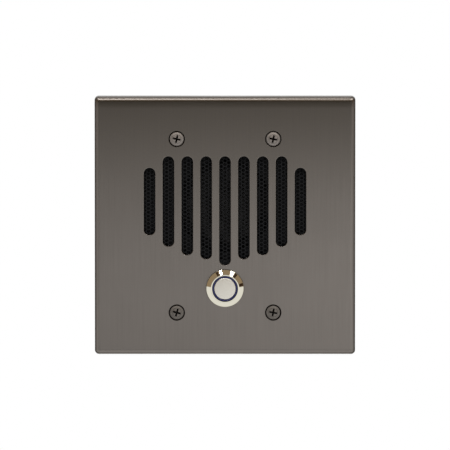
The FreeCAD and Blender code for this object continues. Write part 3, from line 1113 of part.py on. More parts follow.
def check_and_write():
    """Stops if anything failed, and then writes each piece to its own file."""
    doc.recompute()
    for thing in doc.Objects:
        if {"Invalid", "Error"} & set(thing.State):
            raise ValueError(f"{thing.Label} failed: {thing.State}")
    for piece in nodes:
        if piece.Shape.isNull() or not piece.Shape.isValid() or not piece.Shape.Solids:
            raise ValueError(f"{piece.Label} has no valid solid")
    os.makedirs("parts", exist_ok=True)
    for piece in nodes:
        piece.Shape.exportStep(f"parts/{piece.Label}.step")
    print(f"{len(nodes)} pieces written")


def main():
    fill_sheets()
    make_faceplate()
    make_wall_fixings()
    make_mesh()
    make_baffle()
    make_stud_fixings()
    make_button_shell()
    make_light_ring()
    make_button_action()
    make_switch()
    make_speaker_frame()
    make_cone()
    make_magnet()
    make_speaker_fixings()
    make_circuit_board()
    make_terminals()
    make_components()
    check_and_write()


main()
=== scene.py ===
"""Looks of a flush door intercom speaker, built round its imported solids.

Shapes are worked out in millimetres in the frame of the solids: +Z is up, the front faces -Y, and the
origin is the centre of the plate on the surface of the wall.
"""

from __future__ import annotations

import json
import logging
import math
from collections.abc import Sequence
from dataclasses import dataclass, field, replace
from enum import Enum

import bmesh
import bpy
from mathutils import Matrix, Vector

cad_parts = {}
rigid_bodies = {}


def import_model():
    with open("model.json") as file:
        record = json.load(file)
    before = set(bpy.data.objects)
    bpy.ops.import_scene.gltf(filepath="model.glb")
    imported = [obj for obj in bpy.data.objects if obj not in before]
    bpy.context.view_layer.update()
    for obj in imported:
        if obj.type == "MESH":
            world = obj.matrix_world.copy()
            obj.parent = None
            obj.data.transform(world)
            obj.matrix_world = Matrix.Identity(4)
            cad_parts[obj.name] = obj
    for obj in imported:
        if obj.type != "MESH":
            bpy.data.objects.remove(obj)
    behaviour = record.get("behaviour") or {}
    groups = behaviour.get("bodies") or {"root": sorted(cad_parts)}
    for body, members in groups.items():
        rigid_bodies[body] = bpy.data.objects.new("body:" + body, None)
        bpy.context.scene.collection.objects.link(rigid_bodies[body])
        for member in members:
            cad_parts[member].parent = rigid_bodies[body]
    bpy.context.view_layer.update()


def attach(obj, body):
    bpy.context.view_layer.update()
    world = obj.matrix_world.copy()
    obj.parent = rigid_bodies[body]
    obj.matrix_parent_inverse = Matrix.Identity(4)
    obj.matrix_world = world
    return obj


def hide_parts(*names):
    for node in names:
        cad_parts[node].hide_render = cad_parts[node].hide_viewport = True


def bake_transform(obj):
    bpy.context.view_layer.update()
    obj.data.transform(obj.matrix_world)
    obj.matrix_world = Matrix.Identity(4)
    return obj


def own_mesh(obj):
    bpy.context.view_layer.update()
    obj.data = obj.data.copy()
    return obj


Pair = tuple[float, float]
Triple = tuple[float, float, float]
Socket = bpy.types.NodeSocket
Tree = bpy.types.NodeTree

LOG = logging.getLogger("intercom")
MM = 0.001
STATION, BUTTON, CONE = "station", "button", "cone"
BUTTON_AXIS = (0.0, -29.93)
SPEAKER_AXIS = (0.0, 9.0)
# Depth of a thread as a share of its pitch, on a bolt.
THREAD_DEPTH = 0.613
WHITE = "#ffffff"
# Colour of the painted shade that darkens recesses, where shade falls.
SHADE_COLOUR = "#2a2624"
# Handling and cleaning leave patches about this wide on every real surface, in millimetres.
PATCH = 15.0
PATCH_SHARE = 0.25
# At this scale the bands of a wave texture stand two pitches apart.
WAVE_SCALE = 1 / math.tau
COAT_ROUGHNESS = 0.08
SUBSURFACE_DEPTH = 1.5


def linear(code: str) -> tuple[float, float, float, float]:
    """Turns an sRGB hex value into the linear colour that the shaders take.

    Args:
        code: A colour such as "#75706c".

    Returns:
        Red, green, blue and an alpha of one.
    """
    parts = [int(code[at : at + 2], 16) / 255 for at in (1, 3, 5)]
    red, green, blue = (part / 12.92 if part <= 0.04045 else ((part + 0.055) / 1.055) ** 2.4 for part in parts)
    return red, green, blue, 1.0


def empty_tree(owner: bpy.types.Material | bpy.types.World) -> Tree:
    """Clears the nodes of a material or a world.

    Args:
        owner: The material or the world.

    Returns:
        Its nodes, with none left.
    """
    owner.use_nodes = True
    owner.node_tree.nodes.clear()
    return owner.node_tree


def add_node(tree: Tree, kind: str, sockets: dict | None = None, **settings: object) -> bpy.types.Node:
    """Adds a node with its settings and links.

    Args:
        tree: The material's or the world's nodes.
        kind: The node's type, without the words that every shader node's type starts with.
        sockets: For each input, by name or number, a plain value or the output of another node.
        settings: The node's own properties.

    Returns:
        The new node.
    """
    node = tree.nodes.new("ShaderNode" + kind)
    for name, value in settings.items():
        setattr(node, name, value)
    for key, value in (sockets or {}).items():
        if isinstance(value, Socket):
            tree.links.new(value, node.inputs[key])
        else:
            node.inputs[key].default_value = value
    return node


class Pattern(Enum):
    """How a surface was made, which decides the texture that it shows."""

    BRUSHED = "lines of an abrasive belt"
    CLOUDED = "soft patches, as plating and castings have"
    CELLULAR = "cut cells of a foam"
    FIBROUS = "felted fibres"
    WOVEN = "threads of a cloth"
    TURNED = "rings of a lathe tool"
    WOUND = "turns of a wire"


@dataclass(frozen=True)
class Finish:
    """A surface finish and the material made from it.

    Attributes:
        name: Name of the material, after the real one.
        colour: Colour of most of the surface, in sRGB.
        second: Colour at the other end of the pattern.
        pitch: Size of the pattern in millimetres, or its sizes along X, Y and Z. The threads of a
            cloth and the turns of a wire stand two pitches apart.
        relief: Height of the pattern in millimetres.
        roughness: Roughness in the middle of the pattern.
        spread: How far the roughness departs from that.
        metallic: One for a metal.
        pattern: How the surface was made.
        ior: Refractive index of what isn't a metal.
        anisotropic: How far the lines of the pattern draw a reflection out.
        coat: Weight of a clear coat.
        sheen: Weight of a cloth's or a felt's fuzz.
        subsurface: Share of the light that spreads inside.
        axis: X and Z of the axis of a turned pattern, in millimetres.
        painted_shade: Where painted shade darkens a recess: X and Z of a spot in each quarter,
        its radius, and the depths between which it lies.
        rim: Heights between which a sheet falls off below its top edge, and the fall.
    """

    name: str
    colour: str
    second: str
    pitch: float | Triple
    relief: float
    roughness: float
    spread: float
    metallic: float = 0.0
    pattern: Pattern = Pattern.CLOUDED
    ior: float = 1.5
    anisotropic: float = 0.0
    coat: float = 0.0
    sheen: float = 0.0
    subsurface: float = 0.0
    axis: Pair = (0.0, 0.0)
    painted_shade: tuple[float, float, float, float, float] | None = None
    rim: Triple | None = None

    def build(self) -> bpy.types.Material:
        """Makes the material.

        Returns:
            A material whose pattern has its real size on every piece.
        """
        material = bpy.data.materials.new(self.name)
        tree = empty_tree(material)
        place = add_node(tree, "TexCoord").outputs["Object"]
        height = self.texture(tree, place)
        patch = {"Vector": place, "Scale": 1 / (PATCH * MM), "Detail": 3.0}
        factor = add_node(tree, "TexNoise", patch).outputs[0]
        factor = add_node(tree, "Math", {0: factor, 1: PATCH_SHARE}, operation="MULTIPLY").outputs[0]
        shares = {0: height, 1: 1 - PATCH_SHARE, 2: factor}
        factor = add_node(tree, "Math", shares, operation="MULTIPLY_ADD").outputs[0]
        tones = {0: factor, 6: linear(self.colour), 7: linear(self.second)}
        colour = add_node(tree, "Mix", tones, data_type="RGBA").outputs[2]
        # Painted shade: the deep part of a spot is darkened in the colour, as shade in a recess.
        if self.painted_shade:
            shade_mask = {0: self.shade_mask(tree, place), 6: colour, 7: linear(SHADE_COLOUR)}
            colour = add_node(tree, "Mix", shade_mask, data_type="RGBA").outputs[2]
        low, high = max(self.roughness - self.spread, 0.02), min(self.roughness + self.spread, 1.0)
        rough = add_node(tree, "MapRange", {0: factor, 1: 0.25, 2: 0.75, 3: low, 4: high})
        if self.rim:
            height = add_node(tree, "Math", {0: height, 1: self.fall(tree, place)}, operation="ADD").outputs[0]
        bump = add_node(tree, "Bump", {"Height": height, "Distance": self.relief * MM, "Strength": 1.0})
        sockets = {
            "Base Color": colour,
            "Roughness": rough.outputs[0],
            "Normal": bump.outputs[0],
            "Metallic": self.metallic,
            "IOR": self.ior,
            "Coat Weight": self.coat,
            "Coat Roughness": COAT_ROUGHNESS,
            "Sheen Weight": self.sheen,
            "Subsurface Weight": self.subsurface,
            "Subsurface Scale": SUBSURFACE_DEPTH * MM,
        }
        if self.anisotropic:
            # The tangent lies across the lines, so the reflection is drawn out sideways.
            sockets["Anisotropic"] = self.anisotropic
            sockets["Tangent"] = add_node(tree, "Tangent", direction_type="RADIAL", axis="Z").outputs[0]
        shader = add_node(tree, "BsdfPrincipled", sockets)
        add_node(tree, "OutputMaterial", {"Surface": shader.outputs[0]})
        return material

    def shade_mask(self, tree: Tree, place: Socket) -> Socket:
        """Marks the deep part of the same spot in every quarter, where shade is painted.

        Args:
            tree: The material's nodes.
            place: Place on the object, in metres.

        Returns:
            One where shade is painted and zero elsewhere.
        """
        x, z, radius, start, end = (size * MM for size in self.painted_shade)
        quarter = add_node(tree, "VectorMath", {0: place}, operation="ABSOLUTE").outputs[0]
        offset = add_node(tree, "VectorMath", {0: quarter, 1: (x, 0, z)}, operation="SUBTRACT").outputs[0]
        flat = add_node(tree, "VectorMath", {0: offset, 1: (1, 0, 1)}, operation="MULTIPLY").outputs[0]
        reach = add_node(tree, "VectorMath", {0: flat}, operation="LENGTH").outputs["Value"]
        near = add_node(tree, "MapRange", {0: reach, 1: radius, 2: radius * 1.01, 3: 1.0, 4: 0.0}).outputs[0]
        depth = add_node(tree, "SeparateXYZ", {0: place}).outputs[1]
        middle = {0: depth, 1: (start + end) / 2, 2: (end - start) / 2}
        deep = add_node(tree, "Math", middle, operation="COMPARE").outputs[0]
        return add_node(tree, "Math", {0: near, 1: deep}, operation="MULTIPLY").outputs[0]

    def fall(self, tree: Tree, place: Socket) -> Socket:
        """Lets a pressed sheet fall off gently below the bend at its top.

        Args:
            tree: The material's nodes.
            place: Place on the object, in metres.

        Returns:
            Height in units of the relief.
        """
        start, end, drop = self.rim
        level = add_node(tree, "SeparateXYZ", {0: place}).outputs[2]
        near = add_node(tree, "MapRange", {0: level, 1: start * MM, 2: end * MM}).outputs[0]
        steep = add_node(tree, "Math", {0: near, 1: 2.0}, operation="POWER").outputs[0]
        return add_node(tree, "Math", {0: steep, 1: -drop / self.relief}, operation="MULTIPLY").outputs[0]

    def texture(self, tree: Tree, place: Socket) -> Socket:
        """Draws the pattern.

        Args:
            tree: The material's nodes.
            place: Place on the object, in metres.

        Returns:
            Height from zero to one.
        """
        if self.pattern is Pattern.TURNED:
            x, z = self.axis
            centre = {"Vector": place, "Location": (-x * MM, 0, -z * MM), "Scale": (1, 0, 1)}
            flat = add_node(tree, "Mapping", centre).outputs[0]
            reach = add_node(tree, "VectorMath", {0: flat}, operation="LENGTH").outputs["Value"]
            counted = {0: reach, 1: 1 / (self.pitch * MM)}
            rings = add_node(tree, "Math", counted, operation="MULTIPLY").outputs[0]
            lines = {"W": rings, "Scale": 1.0, "Detail": 2.0}
            return add_node(tree, "TexNoise", lines, noise_dimensions="1D").outputs[0]
        sizes = self.pitch if isinstance(self.pitch, tuple) else (self.pitch,) * 3
        scale = tuple(1 / (size * MM) for size in sizes)
        spot = add_node(tree, "Mapping", {"Vector": place, "Scale": scale}).outputs[0]
        if self.pattern is Pattern.CELLULAR:
            return add_node(tree, "TexVoronoi", {"Vector": spot, "Scale": 1.0}).outputs["Distance"]
        wave = {"Vector": spot, "Scale": WAVE_SCALE}
        if self.pattern is Pattern.WOUND:
            return add_node(tree, "TexWave", wave | {"Distortion": 0.3}, bands_direction="Y").outputs["Fac"]
        if self.pattern is Pattern.WOVEN:
            warp, weft = (add_node(tree, "TexWave", wave, bands_direction=way).outputs["Fac"] for way in "XZ")
            return add_node(tree, "Math", {0: warp, 1: weft}, operation="MULTIPLY").outputs[0]
        detail = {Pattern.BRUSHED: 2.0, Pattern.FIBROUS: 8.0}.get(self.pattern, 5.0)
        return add_node(tree, "TexNoise", {"Vector": spot, "Scale": 1.0, "Detail": detail}).outputs[0]


@dataclass
class Shape:
    """A mesh in the making, in millimetres."""

    points: list[Vector] = field(default_factory=list)
    faces: list[tuple[int, ...]] = field(default_factory=list)

    def __add__(self, other: Shape) -> Shape:
        """Joins two shapes.

        Args:
            other: The other shape.

        Returns:
            Both in one.
        """
        base = len(self.points)
        faces = [tuple(base + n for n in face) for face in other.faces]
        return Shape(self.points + other.points, self.faces + faces)

    def moved(self, x: float = 0.0, y: float = 0.0, z: float = 0.0) -> Shape:
        """The shape at another place."""
        return Shape([point + Vector((x, y, z)) for point in self.points], self.faces)

    def turned(self, angle: float, axis: str = "Y") -> Shape:
        """The shape turned about an axis through the origin, by an angle in degrees."""
        spin = Matrix.Rotation(math.radians(angle), 3, axis)
        return Shape([spin @ point for point in self.points], self.faces)

    def copies(self, *places: Sequence[float]) -> Shape:
        """Repeats the shape.

        Args:
            places: For each copy its X and Z, and perhaps an angle in degrees to turn it by.

        Returns:
            All the copies in one shape.
        """
        made = Shape()
        for x, z, *turn in places:
            made += (self.turned(turn[0]) if turn else self).moved(x, 0.0, z)
        return made

    def mesh(self, name: str, scale: float = 1.0) -> bpy.types.Mesh:
        """Makes a clean mesh with outward faces.

        Args:
            name: Name of the mesh.
            scale: Metres for each unit of the shape.

        Returns:
            The mesh, closed wherever its rims met.
        """
        mesh = bpy.data.meshes.new(name)
        work = bmesh.new()
        made = [work.verts.new(point) for point in self.points]
        for face in self.faces:
            corners = list(dict.fromkeys(made[n] for n in face))
            if len(corners) > 2 and not work.faces.get(corners):
                work.faces.new(corners)
        bmesh.ops.remove_doubles(work, verts=work.verts, dist=1e-4)
        bmesh.ops.dissolve_degenerate(work, edges=work.edges, dist=1e-4)
        bmesh.ops.holes_fill(work, edges=[edge for edge in work.edges if edge.is_boundary], sides=0)
        bmesh.ops.recalc_face_normals(work, faces=work.faces)
        bmesh.ops.scale(work, verts=work.verts, vec=(scale,) * 3)
        work.to_mesh(mesh)
        work.free()
        return mesh

    def cut(self, *tools: Shape) -> Shape:
        """Cuts other closed shapes out of this one.

        Args:
            tools: The shapes to cut out.

        Returns:
            What is left.
        """
        result = self
        for tool in tools:
            solid, cutter = (bpy.data.objects.new("work", shape.mesh("work")) for shape in (result, tool))
            for thing in (solid, cutter):
                bpy.context.scene.collection.objects.link(thing)
            modifier = solid.modifiers.new("cut", "BOOLEAN")
            modifier.operation, modifier.solver, modifier.object = "DIFFERENCE", "EXACT", cutter
            mesh = bpy.data.meshes.new_from_object(solid.evaluated_get(bpy.context.evaluated_depsgraph_get()))
            points = [vertex.co.copy() for vertex in mesh.vertices]
            result = Shape(points, [tuple(face.vertices) for face in mesh.polygons])
            for thing in (solid, cutter):
                bpy.data.objects.remove(thing)
        return result


def grid(rows: Sequence[Sequence[Vector]], wrap: bool = True) -> Shape:
    """A sheet of four-sided faces.

    Args:
        rows: Rows of points, all equally long.
        wrap: Whether the last point of a row joins its first.

    Returns:
        The sheet.
    """
    count = len(rows[0])
    faces = []
    for row in range(len(rows) - 1):
        for column in range(count if wrap else count - 1):
            after = (column + 1) % count
            corners = ((row, column), (row, after), (row + 1, after), (row + 1, column))
            faces.append(tuple(r * count + c for r, c in corners))
    return Shape([point for row in rows for point in row], faces)


def turns(steps: int) -> list[float]:
    """Even steps once round, in radians."""
    return [math.tau * step / steps for step in range(steps)]


def polar(radius: float, depth: float, angle: float) -> Vector:
    """A point round the Y axis, with the angle in radians."""
    return Vector((radius * math.cos(angle), depth, radius * math.sin(angle)))


def lathe(profile: Sequence[Pair], steps: int = 32, closed: bool = False) -> Shape:
    """Turns an outline about the Y axis.

    Args:
        profile: Pairs of radius and depth.
        steps: Number of points round the axis.
        closed: Whether the outline's last point joins its first.

    Returns:
        The turned shape, open at its ends unless they lie on the axis.
    """
    rows = [*profile, profile[0]] if closed else profile
    return grid([[polar(*row, turn) for turn in turns(steps)] for row in rows])


def ring(inner: float, outer: float, front: float, back: float, steps: int) -> Shape:
    """A plain ring between two radii and two depths."""
    return lathe([(inner, front), (outer, front), (outer, back), (inner, back)], steps, closed=True)


def varied_ring(sections: Sequence[Sequence[Pair]]) -> Shape:
    """A ring whose section changes on the way round.

    Args:
        sections: At each even step round the axis, the closed section as pairs of radius and depth.

    Returns:
        A closed shape.
    """
    columns = []
    for section, turn in zip(sections, turns(len(sections))):
        columns.append([polar(*point, turn) for point in (*section, section[0])])
    return grid(list(zip(*columns)))


def arc(centre: Pair, radius: float, start: float, end: float, count: int) -> list[Pair]:
    """Points on an arc of an outline.

    Args:
        centre: Its centre as radius and depth.
        radius: Its radius.
        start: Angle of the first point in degrees, where zero points outwards and 90 back.
        end: Angle of the last point.
        count: Number of points.

    Returns:
        Pairs of radius and depth.
    """
    angles = [math.radians(start + (end - start) * step / (count - 1)) for step in range(count)]
    return [(centre[0] + radius * math.cos(angle), centre[1] + radius * math.sin(angle)) for angle in angles]


def mirrored(half: list[Pair]) -> list[Pair]:
    """An outline whose front half repeats its back half, given from the end to the middle."""
    return [(radius, -depth) for radius, depth in half] + half[::-1]


def thread(major: float, pitch: float, start: float, end: float, steps: int, lead_in: float) -> Shape:
    """A thread on a rod, with its ends left open at the root's radius.

    Args:
        major: Radius at the crest.
        pitch: Distance between ridges.
        start: Depth of its front end.
        end: Depth of its back end.
        steps: Number of points round the axis.
        lead_in: Length over which the ridges grow at each end.

    Returns:
        The ridges, which follow one helix.
    """
    minor = major - THREAD_DEPTH * pitch
    corners = ((0.0, minor), (0.2, minor), (0.45, major), (0.65, major))
    rows = 4 * (math.ceil((end - start) / pitch) + 2)
    points, faces = [], []
    for row in range(rows):
        share, radius = corners[row % 4]
        for column, turn in enumerate(turns(steps)):
            depth = start + (row // 4 + share + column / steps - 1) * pitch
            near = min(max(min(depth - start, end - depth), 0.0) / lead_in, 1.0)
            points.append(polar(min(radius, minor + (major - minor) * near), min(max(depth, start), end), turn))
    for row in range(rows - 5):
        for column in range(steps):
            # A row ends one pitch further on, four rows down.
            beside, after = (row, column + 1) if column + 1 < steps else (row + 4, 0)
            face = ((row, column), (beside, after), (beside + 1, after), (row + 1, column))
            faces.append(tuple(r * steps + c for r, c in face))
    return Shape(points, faces)


def block(front: Sequence[Pair], back: Sequence[Pair], start: float, end: float) -> Shape:
    """A block between two outlines with equally many corners.

    Args:
        front: Its front outline, as pairs of X and Z.
        back: Its back outline.
        start: Depth of its front.
        end: Depth of its back.

    Returns:
        A closed shape.
    """
    count = len(front)
    points = [Vector((x, depth, z)) for outline, depth in ((front, start), (back, end)) for x, z in outline]
    sides = [(n, (n + 1) % count, count + (n + 1) % count, count + n) for n in range(count)]
    return Shape(points, [tuple(range(count)), tuple(range(count, 2 * count)), *sides])


def rectangle(width: float, height: float) -> list[Pair]:
    """Corners of a rectangle round the origin."""
    return [(width / 2 * a, height / 2 * b) for a, b in ((-1, -1), (1, -1), (1, 1), (-1, 1))]


def hex_nut(flats: float, hole: float, front: float, back: float, chamfer: float) -> Shape:
    """A hexagon nut whose corners are turned off at both ends.

    Args:
        flats: Width across the flats.
        hole: Radius of its hole.
        front: Depth of its front.
        back: Depth of its back.
        chamfer: Radius inside the flats at which the turned corners start.

    Returns:
        A closed shape.
    """
    steps, slope, sink = 48, 25.0, 0.25
    face = flats / 2 - chamfer
    sections = []
    for step in range(steps):
        reach = flats / 2 / math.cos(math.radians(360 * step / steps % 60 - 30))
        drop = (reach - face) * math.tan(math.radians(slope))
        sections.append((
            (hole, front + sink), (hole + sink, front), (face, front), (reach, front + drop),
            (reach, back - drop), (face, back), (hole + sink, back), (hole, back - sink),
        ))
    return varied_ring(sections)


def cross_recess(top: float, depth: float, span: float, wing: float) -> Shape:
    """The tool that cuts a cross recess, wide at its mouth and narrow at its foot.

    Args:
        top: Depth of the mouth, which the tool passes a little.
        depth: How deep it goes.
        span: Tip to tip at the mouth.
        wing: Width of a wing at the mouth.

    Returns:
        A closed shape.
    """
    outlines = []
    for reach, half in ((span / 2, wing / 2), (span * 0.26, wing * 0.34)):
        quarter = [(half, reach), (half, half), (reach, half)]
        right = quarter + [(x, -z) for x, z in reversed(quarter)]
        outlines.append(right + [(-x, z) for x, z in reversed(right)])
    return block(*outlines, top - 0.05, top + depth)


def pan_head_screw(seat: float, tip: float) -> Shape:
    """An M3 pan-head screw that points forwards, with its head at the back.

    Args:
        seat: Depth of the head's underside.
        tip: Depth of the shank's end.

    Returns:
        The screw on the Y axis.
    """
    shank, head, rise, pitch, steps = 1.5, 2.8, 1.8, 0.5, 32
    minor, top = shank - THREAD_DEPTH * pitch, seat + rise
    crown = [(0.0, top), (head * 0.45, top - 0.02), (head * 0.75, top - rise * 0.12),
             (head * 0.93, top - rise * 0.32), (head, top - rise * 0.6), (head, seat + 0.08),
             (head - 0.08, seat), (shank, seat), (minor, seat - 0.3)]
    end = lathe([(minor, tip + 0.4), (minor * 0.8, tip), (0.0, tip)], steps)
    whole = lathe(crown, steps) + thread(shank, pitch, tip + 0.4, seat - 0.3, steps, 0.3) + end
    recess = cross_recess(0.0, 1.15, 2.7, 0.75)
    points = [Vector((point.x, top - point.y, point.z)) for point in recess.points]
    return whole.cut(Shape(points, recess.faces))


def wire(path: Sequence[Vector], radius: float, sides: int = 10) -> Shape:
    """A round wire along a line of points, with closed ends.

    Args:
        path: The points.
        radius: Radius of the wire.
        sides: Number of points round it.

    Returns:
        A closed shape.
    """
    rings = []
    for at, point in enumerate(path):
        along = (path[min(at + 1, len(path) - 1)] - path[max(at - 1, 0)]).normalized()
        across = along.cross(Vector((0, 1, 0))).normalized()
        up = across.cross(along)
        ways = [across * math.cos(turn) + up * math.sin(turn) for turn in turns(sides)]
        rings.append([point + way * radius for way in ways])
    return grid(rings)


def strip(path: Sequence[Pair], width: float, front: float, back: float) -> Shape:
    """A flat strip of metal along a line of corners.

    Args:
        path: Corners as X and Z.
        width: Width of the strip.
        front: Depth of its front.
        back: Depth of its back.

    Returns:
        A closed shape with mitred corners.
    """
    corners = [Vector(corner) for corner in path]
    rings = []
    for at, corner in enumerate(corners):
        before = (corner - corners[at - 1]).normalized() if at else None
        after = (corners[at + 1] - corner).normalized() if at + 1 < len(corners) else None
        way = ((before or after) + (after or before)).normalized()
        side = Vector((-way.y, way.x)) * (width / 2 / max(way.dot(after or before), 0.5))
        ends = ((corner + side, front), (corner - side, front), (corner - side, back), (corner + side, back))
        rings.append([Vector((place.x, depth, place.y)) for place, depth in ends])
    return grid(rings)


class Workshop:
    """Makes the finishes once and turns shapes into finished pieces."""

    def __init__(self) -> None:
        """Starts with no finishes made."""
        self.made: dict[str, bpy.types.Material] = {}

    def material(self, finish: Finish) -> bpy.types.Material:
        """Gives the material of a finish.

        Args:
            finish: The finish.

        Returns:
            Its material, made the first time it is asked for.
        """
        if finish.name not in self.made:
            self.made[finish.name] = finish.build()
        return self.made[finish.name]

    def piece(self, name: str, shape: Shape, finish: Finish, slot: str, *nodes: str,
              body: str | None = STATION, crease: float = 35.0) -> bpy.types.Object:
        """Adds a piece to the object.

        Args:
            name: Its name.
            shape: Its shape.
            finish: Its finish.
            slot: The record's name for its finish; not used.
            nodes: Solids that it stands for.
            body: The body that it rides on, or none to leave it on no body.
            crease: Angle in degrees from which an edge stays sharp.

        Returns:
            The new object.
        """
        mesh = shape.mesh(name, MM)
        mesh.shade_smooth()
        mesh.set_sharp_from_angle(angle=math.radians(crease))
        mesh.materials.append(self.material(finish))
        thing = bpy.data.objects.new(name, mesh)
        bpy.context.scene.collection.objects.link(thing)
        if body:
            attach(thing, body)
        if nodes:
            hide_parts(*nodes)
        LOG.info("%s: %d faces on %s", name, len(mesh.polygons), body or "two bodies")
        return thing

    def suspension(self, name: str, outline: list[Pair], finish: Finish, slot: str,
                   node: str) -> None:
        """Adds a soft ring round the speaker's axis, in twelve pieces that ride on no body.

        Args:
            name: Its name.
            outline: Its section, as pairs of radius and depth.
            finish: Its finish.
            slot: The record's name for its finish.
            node: The solid that it stands for.
        """
        count, steps = 12, 6
        axis = Vector((SPEAKER_AXIS[0], 0.0, SPEAKER_AXIS[1]))
        for index in range(count):
            angles = [math.tau * (index + step / steps - 0.5) / count for step in range(steps + 1)]
            rows = [[axis + polar(*point, angle) for angle in angles] for point in (*outline, outline[0])]
            part = self.piece(f"{name}_{index + 1:02d}", grid(rows, wrap=False), finish, slot, node, body=None)
            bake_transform(part)

    def dress(self, finish: Finish, *names: str) -> None:
        """Gives solids that stay their finish.

        Args:
            finish: The finish.
            names: Names of the nodes.
        """
        for name in names:
            for slot in bpy.data.objects[name].material_slots:
                slot.material = self.material(finish)
            LOG.info("%s: %s", name, finish.name)


# Stainless sheet with a dark bronze film over vertical brushing: dull, warm grey, and drawn-out reflections.
# Real belt lines are 0.05 mm apart and are drawn 0.35 mm apart, so that they show. Painted shade
# darkens the countersinks and the slots' edges, where shade falls.
BRONZE = Finish(
    "brushed_bronze_stainless", "#7e7873", "#746f6a", (0.35, 0.35, 30.0), 0.002, 0.33, 0.04, 1.0,
    Pattern.BRUSHED, anisotropic=0.6, painted_shade=(0.0, 0.0, 55.0, -5.95, -4.65), rim=(56.4, 60.1, 0.12),
)
# Passivated stainless, turned: a plain grey metal with soft highlights, and painted shade in the recess of a
# wall screw.
SCREW = Finish(
    "passivated_stainless", "#a39d98", "#857f7a", 0.5, 0.006, 0.6, 0.06, 1.0,
    painted_shade=(23.02, 41.67, 2.2, -5.9, -3.9),
)
# A darker copy of the same steel for the lower pair of wall screws: painted shade, as these mirror darker
# surroundings.
SHADED_SCREW = replace(SCREW, name="shaded_stainless", colour="#847f7a", second="#6c6762")
# Polished stainless: a mirror with the faintest rings of the buffing wheel, drawn 0.12 mm apart.
POLISHED = Finish(
    "polished_stainless", "#dedacb", "#d5d1c0", 0.12, 0.0004, 0.05, 0.015, 1.0, Pattern.TURNED, axis=BUTTON_AXIS
)
# Fine-blasted stainless: almost matt, pale and warm. Its pits, about 0.05 mm wide, are drawn 0.18 mm wide.
SATIN = Finish("blasted_stainless", "#ebe8e0", "#dfdbd1", 0.18, 0.004, 0.5, 0.05, 1.0)
# Zinc plate with a clear passivate: bright, faintly bluish, with cloudy patches.
ZINC = Finish("zinc_plate", "#c3c6c8", "#a9adb0", 1.6, 0.003, 0.32, 0.09, 1.0)
# Nickel on brass: smoother and warmer than zinc.
NICKEL = Finish("nickel_plated_brass", "#cfc8b8", "#b9b1a0", 0.9, 0.002, 0.22, 0.06, 1.0)
# Rolled brass, a little tarnished: deep yellow, with patches drawn out along the rolling.
BRASS = Finish("rolled_brass", "#c9a45c", "#a8843f", (0.7, 0.7, 2.0), 0.003, 0.3, 0.08, 1.0)
# Hot-tinned copper: silvery, soft, slightly uneven.
TINNED = Finish("tinned_copper", "#cdcfd0", "#aeb0b2", 0.5, 0.006, 0.28, 0.1, 1.0)
# Drawn spring steel with a thin oil film: mid grey, with a smooth wet shine.
SPRING = Finish("drawn_spring_steel", "#a2a4a6", "#85878a", 0.3, 0.002, 0.25, 0.06, 1.0)
# Solder: very bright, with slightly duller patches.
SOLDER = Finish("solder", "#d6d8da", "#b4b6b9", 0.4, 0.01, 0.18, 0.08, 1.0)
# Dead-matt black stoving paint on perforated sheet: it swallows light, and only the webs show a faint grey.
MESH_PAINT = Finish("matt_black_painted_sheet", "#171718", "#1d1d1e", 0.25, 0.01, 0.6, 0.08, ior=1.2)
# Injection-moulded ABS: black, with a spark-eroded grain of about 0.4 mm and hardly any shine.
ABS = Finish("moulded_black_abs", "#1c1c1d", "#28282a", 0.4, 0.02, 0.6, 0.08, ior=1.28)
# Glass-filled nylon: a touch paler than ABS, with short fibres at the surface.
NYLON = Finish(
    "glass_filled_nylon", "#232324", "#313132", (0.25, 0.5, 0.25), 0.012, 0.5, 0.1,
    pattern=Pattern.FIBROUS, ior=1.53,
)
# Unfilled nylon: milky, with light going into it.
NATURAL_NYLON = Finish("natural_nylon", "#e6e0cf", "#dad3c0", 1.0, 0.005, 0.38, 0.05, ior=1.53, subsurface=0.4)
# Moulded green nylon of a terminal block: saturated, with a soft moulded shine.
GREEN_NYLON = Finish("moulded_green_nylon", "#2f8a4c", "#277a42", 0.5, 0.008, 0.42, 0.06, ior=1.53)
# Closed-cell foam: cut cells about 0.6 mm wide, no shine.
FOAM = Finish(
    "closed_cell_foam", "#2b2b2c", "#4a4a4b", 0.6, 0.12, 0.9, 0.05, pattern=Pattern.CELLULAR, sheen=0.15
)
# Moulded rubber: black, slightly dusty.
RUBBER = Finish("moulded_rubber", "#161617", "#202021", 0.6, 0.004, 0.8, 0.06, ior=1.4)
# Tinted polycarbonate lens, unlit: deep blue and even, with a soft gloss and a little light inside.
LENS = Finish(
    "blue_polycarbonate", "#1a1e52", "#171b4b", 0.3, 0.0, 0.3, 0.02, pattern=Pattern.TURNED, subsurface=0.1,
    axis=BUTTON_AXIS,
)
# Small blue LED in a clear package, unlit: pale blue and glassy.
LED = Finish("clear_led_package", "#9fb4dc", "#7f97c8", 0.5, 0.003, 0.15, 0.04, coat=0.6)
# White solder resist over glass cloth: clean and glossy. Its threads, 0.5 mm apart, are drawn 1 mm apart.
WHITE_BOARD = Finish(
    "white_solder_resist", "#e9e9e4", "#dcdcd6", 0.5, 0.006, 0.35, 0.05, pattern=Pattern.WOVEN, coat=0.3
)
# Green solder resist over the same cloth, whose weave shows faintly.
GREEN_BOARD = Finish(
    "green_solder_resist", "#17552f", "#1a5b33", 0.5, 0.003, 0.3, 0.04, pattern=Pattern.WOVEN, coat=0.4
)
# The same resist where it runs over copper: paler and smoother.
COVERED_COPPER = Finish("resist_over_copper", "#2f7a47", "#35834e", 0.8, 0.004, 0.26, 0.05, coat=0.4)
# Pressed paper pulp, dyed dark grey: dull, with felted fibres.
PAPER = Finish(
    "pressed_paper_cone", "#2a2827", "#3a3836", 0.8, 0.03, 0.88, 0.06, pattern=Pattern.FIBROUS, sheen=0.2
)
